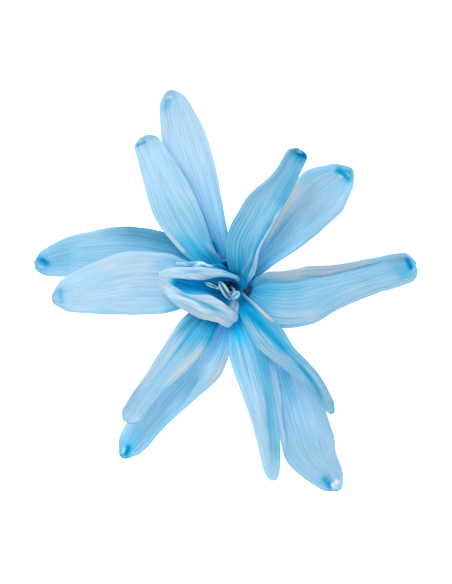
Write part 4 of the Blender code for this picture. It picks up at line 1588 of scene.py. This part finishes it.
@dataclass
class Heart:
    """The folded petal that lies over the middle, and the small one behind it."""

    folded_seed: int = 310
    small_seed: int = 320
    whorl: Whorl = Whorl(1.45, 4.6, 1.55, 8.3, 1.45)
    edge_whorl: Whorl = Whorl(1.45, 4.6, 1.72, 8.3, 0.3)
    folded: Petal = Petal(
        "heart_petal_folded", 206, (-8.9, 1.1, 12.2), (10.6, 11.5, 12.0), bows=(-0.05, 0.15, -0.05), hood=0,
        tone=0.14, flush=0.5, flush_dye=0.8, tip_dye=0.0, pleat=1.3, crumple=0.1,
        fold=Fold(
            left_channel=(1.4, 1.6, 0.9, 0.98, 0.8, 0.5, 0.2),
            right_channel=(1.5, 2.2, 1.55, 1.05, 0.6, 0.3, 0.15),
            wall=(1.3, 3.0, 2.1, 1.3, 0.7, 0.15, 0.05),
            left_flap=(1.75, 2.3, 2.85, 1.95, 1.6, 1.2, 0.4),
            right_flap=(0.1, 0.3, 1.0, 1.45, 1.4, 1.2, 0.5),
            slant=(0.0, 32.0, 60.0, 80.0, 90.0, 90.0, 90.0),
        ),
        marks=(
            # The paler raised rims carry painted highlights where shade is below 0, and the pressed creases
            # painted shade
            Crease(((-8.2, 1.5), (-6.0, 2.3), (-2.0, 2.4), (0.5, 1.9)), 0.14, -0.06, -0.2, 0.4, shade=-0.06),
            Crease(((-7.4, 1.6), (-4.0, 1.85), (-1.4, 1.8), (0.8, 1.4)), 0.16, 0.08, 0.24, -0.2, shade=0.06),
            Crease(((-6.0, 2.0), (-3.6, 2.1), (-1.0, 2.05)), 0.1, 0.05, 0.16, shade=0.05),
            Crease(((-8.0, 1.2), (-4.0, 1.15), (-1.4, 1.05), (0.6, 0.85)), 0.12, -0.06, -0.2, 0.4,
                   shade=-0.06),
            Crease(((-0.6, 1.9), (0.4, 1.3), (1.2, 0.6)), 0.5, 0.0, 0.3, -0.4),
            Crease(((-7.5, 0.1), (-5.2, -0.8), (-3.0, -1.15), (-0.8, -2.4), (0.1, -3.1)), 0.14, -0.1, -0.3,
                   0.4, shade=-0.18),
            Crease(((-7.6, -0.3), (-5.8, -1.2), (-4.0, -1.9), (-2.0, -2.9), (-0.6, -4.0)), 0.3, 0.14, 0.5,
                   -0.5, shade=0.1),
            Crease(((-4.0, -3.0), (-2.2, -3.9), (-0.6, -4.4)), 0.7, 0.0, 0.0, 0.1, 0.3),
            Crease(((-8.6, 0.0), (-7.2, -1.1), (-5.0, -1.8), (-3.6, -2.9), (-2.2, -3.9)), 0.16, -0.16, -0.3,
                   0.3, shade=-0.18),
            Crease(((-4.6, -1.5), (-2.4, -2.3), (-0.9, -3.3), (0.2, -4.4)), 0.12, 0.07, 0.28, shade=0.1),
            Crease(((-7.4, -1.5), (-5.4, -2.3), (-3.4, -3.3), (-1.2, -4.6)), 0.12, 0.07, 0.26, shade=0.1),
            Crease(((-3.2, -3.7), (-2.0, -4.5), (-0.9, -5.1), (0.2, -4.9)), 0.14, -0.08, -0.2, 0.3,
                   shade=-0.1),
            Crease(((0.4, -4.8), (0.75, -3.4), (0.9, -2.2)), 0.2, -0.1, 0.3, -0.3, shade=-0.1),
        ),
    )
    small: Petal = Petal(
        "heart_petal_small", 101, (-6.7, 2.75, 11.3), (10.9, 11.2, 11.3),
        half_widths=(0.28, 0.42, 0.5, 0.52, 0.5, 0.5, 0.45), bows=(-0.3, -0.3, -0.1),
        round_tip=0.6, cup=(30, 20, 15), hood=0, tone=0.4, flush=3.0, tip_dye=0.0, crumple=0.5, fray=0.4,
        ripple=0.25, pleat=1.5,
        marks=(
            # Paler raised curls with painted highlights where shade is below 0, and pressed outlines of
            # painted shade
            Crease(((-7.5, 2.4), (-6.6, 2.95), (-5.0, 2.75)), 0.15, -0.14, -0.4, 0.3, 0.0, -0.4),
            Crease(((-6.8, 2.45), (-5.8, 2.55), (-4.6, 2.6)), 0.12, 0.1, 0.4, -0.3, shade=0.15),
            Crease(((-4.8, 2.4), (-3.6, 2.95), (-1.9, 2.6)), 0.15, -0.14, -0.4, 0.3, 0.0, -0.4),
            Crease(((-4.0, 2.5), (-3.0, 2.6), (-1.4, 2.5)), 0.12, 0.1, 0.4, -0.3, shade=0.15),
            Crease(((-2.6, 2.9), (-0.8, 2.3), (1.0, 1.6)), 0.25, 0.0, 0.5, -0.3, shade=0.1),
        ),
    )

    def build(self, tissue: bpy.types.Material) -> None:
        """Model both petals.

        Args:
            tissue: Their finish.
        """
        nets = (
            PetalNet(self.folded, self.whorl, self.folded_seed, HEART_ROWS, HEART_COLUMNS),
            PetalNet(self.small, self.edge_whorl, self.small_seed),
        )
        for net in nets:
            piece = PetalMaker.build("blade_" + net.petal.name, net)
            Workbench.finish(piece, tissue, "heart", net.petal.name)


@dataclass
class Stamens:
    """Two stamens on one small ring: their filaments, and their two-lobed anthers.

    Each stamen is given by its angle, the bend of its filament, its anther's two ends and half width.
    """

    node: str = "stamens"
    ring_bottom: float = 2.55
    ring_top: float = 3.1
    ring_middle: float = 0.735
    ring_thickness: float = 0.21
    ring_segments: tuple = (48, 12)
    sunk: float = 0.2
    filament_radius: float = 0.16
    stand: float = 0.68
    bends_from: float = 6.5
    groove: float = 0.8
    places: tuple = (
        (280, (-0.35, -0.65, 9.2), (-0.2, -1.45, 11.1), (-1.4, 0.6, 11.9), 0.43),
        (215, (-0.65, -0.5, 9.4), (-1.75, -0.1, 11.7), (-3.1, 0.45, 12.35), 0.22),
    )

    def build(self, filament_finish: bpy.types.Material, anther_finish: bpy.types.Material) -> None:
        """Model the ring and filaments as one piece, and the anthers as another.

        Args:
            filament_finish: The finish of the ring and filaments.
            anther_finish: The finish of the anthers.
        """
        Workbench.clear()
        round_ring, round_wire = self.ring_segments
        bpy.ops.mesh.primitive_torus_add(
            major_radius=self.ring_middle * MM, minor_radius=self.ring_thickness * MM,
            major_segments=round_ring, minor_segments=round_wire,
            location=(0, 0, (self.ring_bottom + self.ring_top) / 2 * MM))
        strands = [Workbench.added("ring")]
        Workbench.settle(strands[0])
        anthers = []
        for number, (angle, bend, low, high, radius) in enumerate(self.places):
            turn = math.radians(angle)
            foot = (self.stand * math.cos(turn), self.stand * math.sin(turn), self.ring_top - self.sunk)
            path = (foot, (foot[0], foot[1], self.bends_from), bend, low)
            strands.append(rod(f"filament_{number}", path, self.filament_radius))
            anthers.append(pod(f"anther_{number}", Vector(low), Vector(high), radius, self.groove))
        filaments = Workbench.join(strands, "filaments")
        Workbench.finish(filaments, filament_finish, "stigma", self.node)
        Workbench.finish(Workbench.join(anthers, "anthers"), anther_finish, "anther", self.node)


def pod(name: str, low: Vector, high: Vector, radius: float, groove: float) -> bpy.types.Object:
    """A long pod with a groove down its face.

    Args:
        name: The object's name.
        low: Its lower end.
        high: Its upper end.
        radius: Half its width.
        groove: What share of its depth the groove takes.

    Returns:
        The pod, which knows at each point how hollow it is.
    """
    Workbench.clear()
    bpy.ops.mesh.primitive_uv_sphere_add(segments=POD_SEGMENTS, ring_count=POD_RINGS, radius=MM)
    made = Workbench.added(name)
    length = (high - low).length / 2 + POD_EXTRA_LENGTH
    hollow = []
    for vertex in made.data.vertices:
        x, y, z = vertex.co / MM
        end = z ** POD_BLUNTNESS
        depth = math.exp(-(x / GROOVE_WIDTH) ** 2) * (groove if y > 0 else BACK_GROOVE) * (1 - end)
        taper = (1 - end * POD_TAPER) * radius
        vertex.co = Vector((x * taper * POD_BROAD, y * (1 - depth) * taper * POD_FLAT, z * length)) * MM
        hollow.append(depth)
    Workbench.colour(made.data, hollow=np.array(hollow))
    made.location = (low + high) / 2 * MM
    made.rotation_mode = "QUATERNION"
    made.rotation_quaternion = (high - low).to_track_quat("Z", "Y")
    Workbench.settle(made)
    return made


def rod(name: str, path: tuple, radius: float) -> bpy.types.Object:
    """A round strand along a smooth path.

    Args:
        name: The object's name.
        path: The points it passes through.
        radius: Its radius.

    Returns:
        The strand as a closed mesh.
    """
    Workbench.clear()
    bpy.ops.curve.primitive_nurbs_path_add()
    curve = bpy.context.object
    curve.data.splines.clear()
    spline = curve.data.splines.new("POLY")
    knots = np.array(path)
    lengths = distances(knots)
    points = course(knots, lengths, np.linspace(0.0, lengths[-1], ROD_POINTS))
    spline.points.add(len(points) - 1)
    for target, point in zip(spline.points, points):
        target.co = (*(point * MM), 1.0)
    curve.data.bevel_depth = radius * MM
    curve.data.bevel_resolution = ROD_ROUNDNESS
    curve.data.use_fill_caps = True
    bpy.ops.object.convert(target="MESH")
    strand = Workbench.added(name)
    Workbench.settle(strand)
    return strand


@dataclass
class Pistil:
    """The style and its stigma, one small cupped lobe."""

    node: str = "pistil"
    radius: float = 0.17
    path: tuple = ((0.0, 0.0, 2.55), (0.0, 0.0, 6.0), (0.2, -0.15, 9.0), (0.45, -0.7, 10.5))
    lobe: tuple = ((0.15, -1.4, 10.85), (0.95, -0.65, 11.0))
    lobe_radius: float = 0.42
    groove: float = 0.55

    def build(self, finish: bpy.types.Material) -> None:
        """Model the style, then the lobe at its top.

        Args:
            finish: Their finish.
        """
        low, high = (Vector(end) for end in self.lobe)
        parts = [rod("style", self.path, self.radius), pod("lobe", low, high, self.lobe_radius, self.groove)]
        Workbench.finish(Workbench.join(parts, "style_and_stigma"), finish, "stigma", self.node)


@dataclass
class Studio:
    """A plain pale floor, soft light, and a camera that looks straight down on the flower."""

    camera_height: float = CAMERA_HEIGHT
    mm_per_pixel: float = 0.125
    picture: tuple = (452, 584)
    middle_pixel: tuple = (231, 287)
    sensor: float = 36.0
    clip: tuple = (0.01, 10.0)
    floor_half: float = 3000.0
    floor_white: float = 0.9
    floor_roughness: float = 0.9
    floor_specular: float = 0.1
    floor_glow: float = 0.8
    sky: float = 0.68
    key: float = 1.35
    key_from: tuple = (-300.0, 360.0, 660.0)
    key_size: float = 450.0

    def build(self) -> None:
        """Lay the floor, hang the lights and set the camera."""
        self._floor()
        self._light()
        self._camera()

    def _floor(self) -> None:
        """A white surface that the flower lies on."""
        Workbench.clear()
        bpy.ops.mesh.primitive_plane_add(size=2 * self.floor_half * MM)
        floor = Workbench.added("floor")
        kit = Nodes("floor")
        kit.shader.inputs["Base Color"].default_value = (*(self.floor_white,) * 3, 1.0)
        kit.shader.inputs["Roughness"].default_value = self.floor_roughness
        kit.shader.inputs["Specular IOR Level"].default_value = self.floor_specular
        kit.shader.inputs["Emission Color"].default_value = (1.0, 1.0, 1.0, 1.0)
        kit.shader.inputs["Emission Strength"].default_value = self.floor_glow
        floor.data.materials.append(kit.material)

    def _light(self) -> None:
        """A pale sky all round and one broad light from the upper left."""
        world = bpy.data.worlds.new("sky")
        bpy.context.scene.world = world
        world.use_nodes = True
        backdrop = world.node_tree.nodes["Background"]
        backdrop.inputs["Color"].default_value = (1.0, 1.0, 1.0, 1.0)
        backdrop.inputs["Strength"].default_value = self.sky
        Workbench.clear()
        place = Vector(self.key_from)
        bpy.ops.object.light_add(type="AREA", location=place * MM)
        lamp = bpy.context.object
        lamp.name = "key_light"
        lamp.data.shape = "DISK"
        lamp.data.size = self.key_size * MM
        lamp.data.energy = self.key * math.pi * (place.length * MM) ** 2
        lamp.rotation_mode = "QUATERNION"
        lamp.rotation_quaternion = (-place).to_track_quat("-Z", "Y")

    def _camera(self) -> None:
        """A long lens high above the flower, with +Y up the picture."""
        width, height = self.picture
        x = (width / 2 - self.middle_pixel[0]) * self.mm_per_pixel
        y = (self.middle_pixel[1] - height / 2) * self.mm_per_pixel
        Workbench.clear()
        bpy.ops.object.camera_add(location=(x * MM, y * MM, self.camera_height * MM), rotation=(0, 0, 0))
        camera = bpy.context.object
        camera.name = "camera"
        camera.data.sensor_width = self.sensor
        camera.data.lens = self.sensor * self.camera_height / (height * self.mm_per_pixel)
        camera.data.clip_start, camera.data.clip_end = self.clip
        bpy.context.scene.camera = camera
        bpy.context.scene.view_settings.view_transform = "Standard"


def main() -> None:
    """Build the flower and its studio."""
    logging.basicConfig(level=logging.INFO, format="%(message)s")
    tissue = Tissue("petal_tissue").make()
    tube_tissue = Tissue("tube_tissue").make()
    heart_tissue = Tissue("heart_tissue").make()
    anther_finish = Powder("anther_powder", light=(0.46, 0.78, 0.86), dark=(0.01, 0.20, 0.30)).make()
    stigma_finish = Powder(
        "stigma_tissue", light=(0.54, 0.80, 0.94), dark=(0.10, 0.46, 0.70), grain=5000.0).make()
    Perianth().build(tissue, tube_tissue)
    InnerPetals().build(tissue)
    Heart().build(heart_tissue)
    Stamens().build(stigma_finish, anther_finish)
    Pistil().build(stigma_finish)
    Studio().build()


if __name__ == "__main__":
    main()
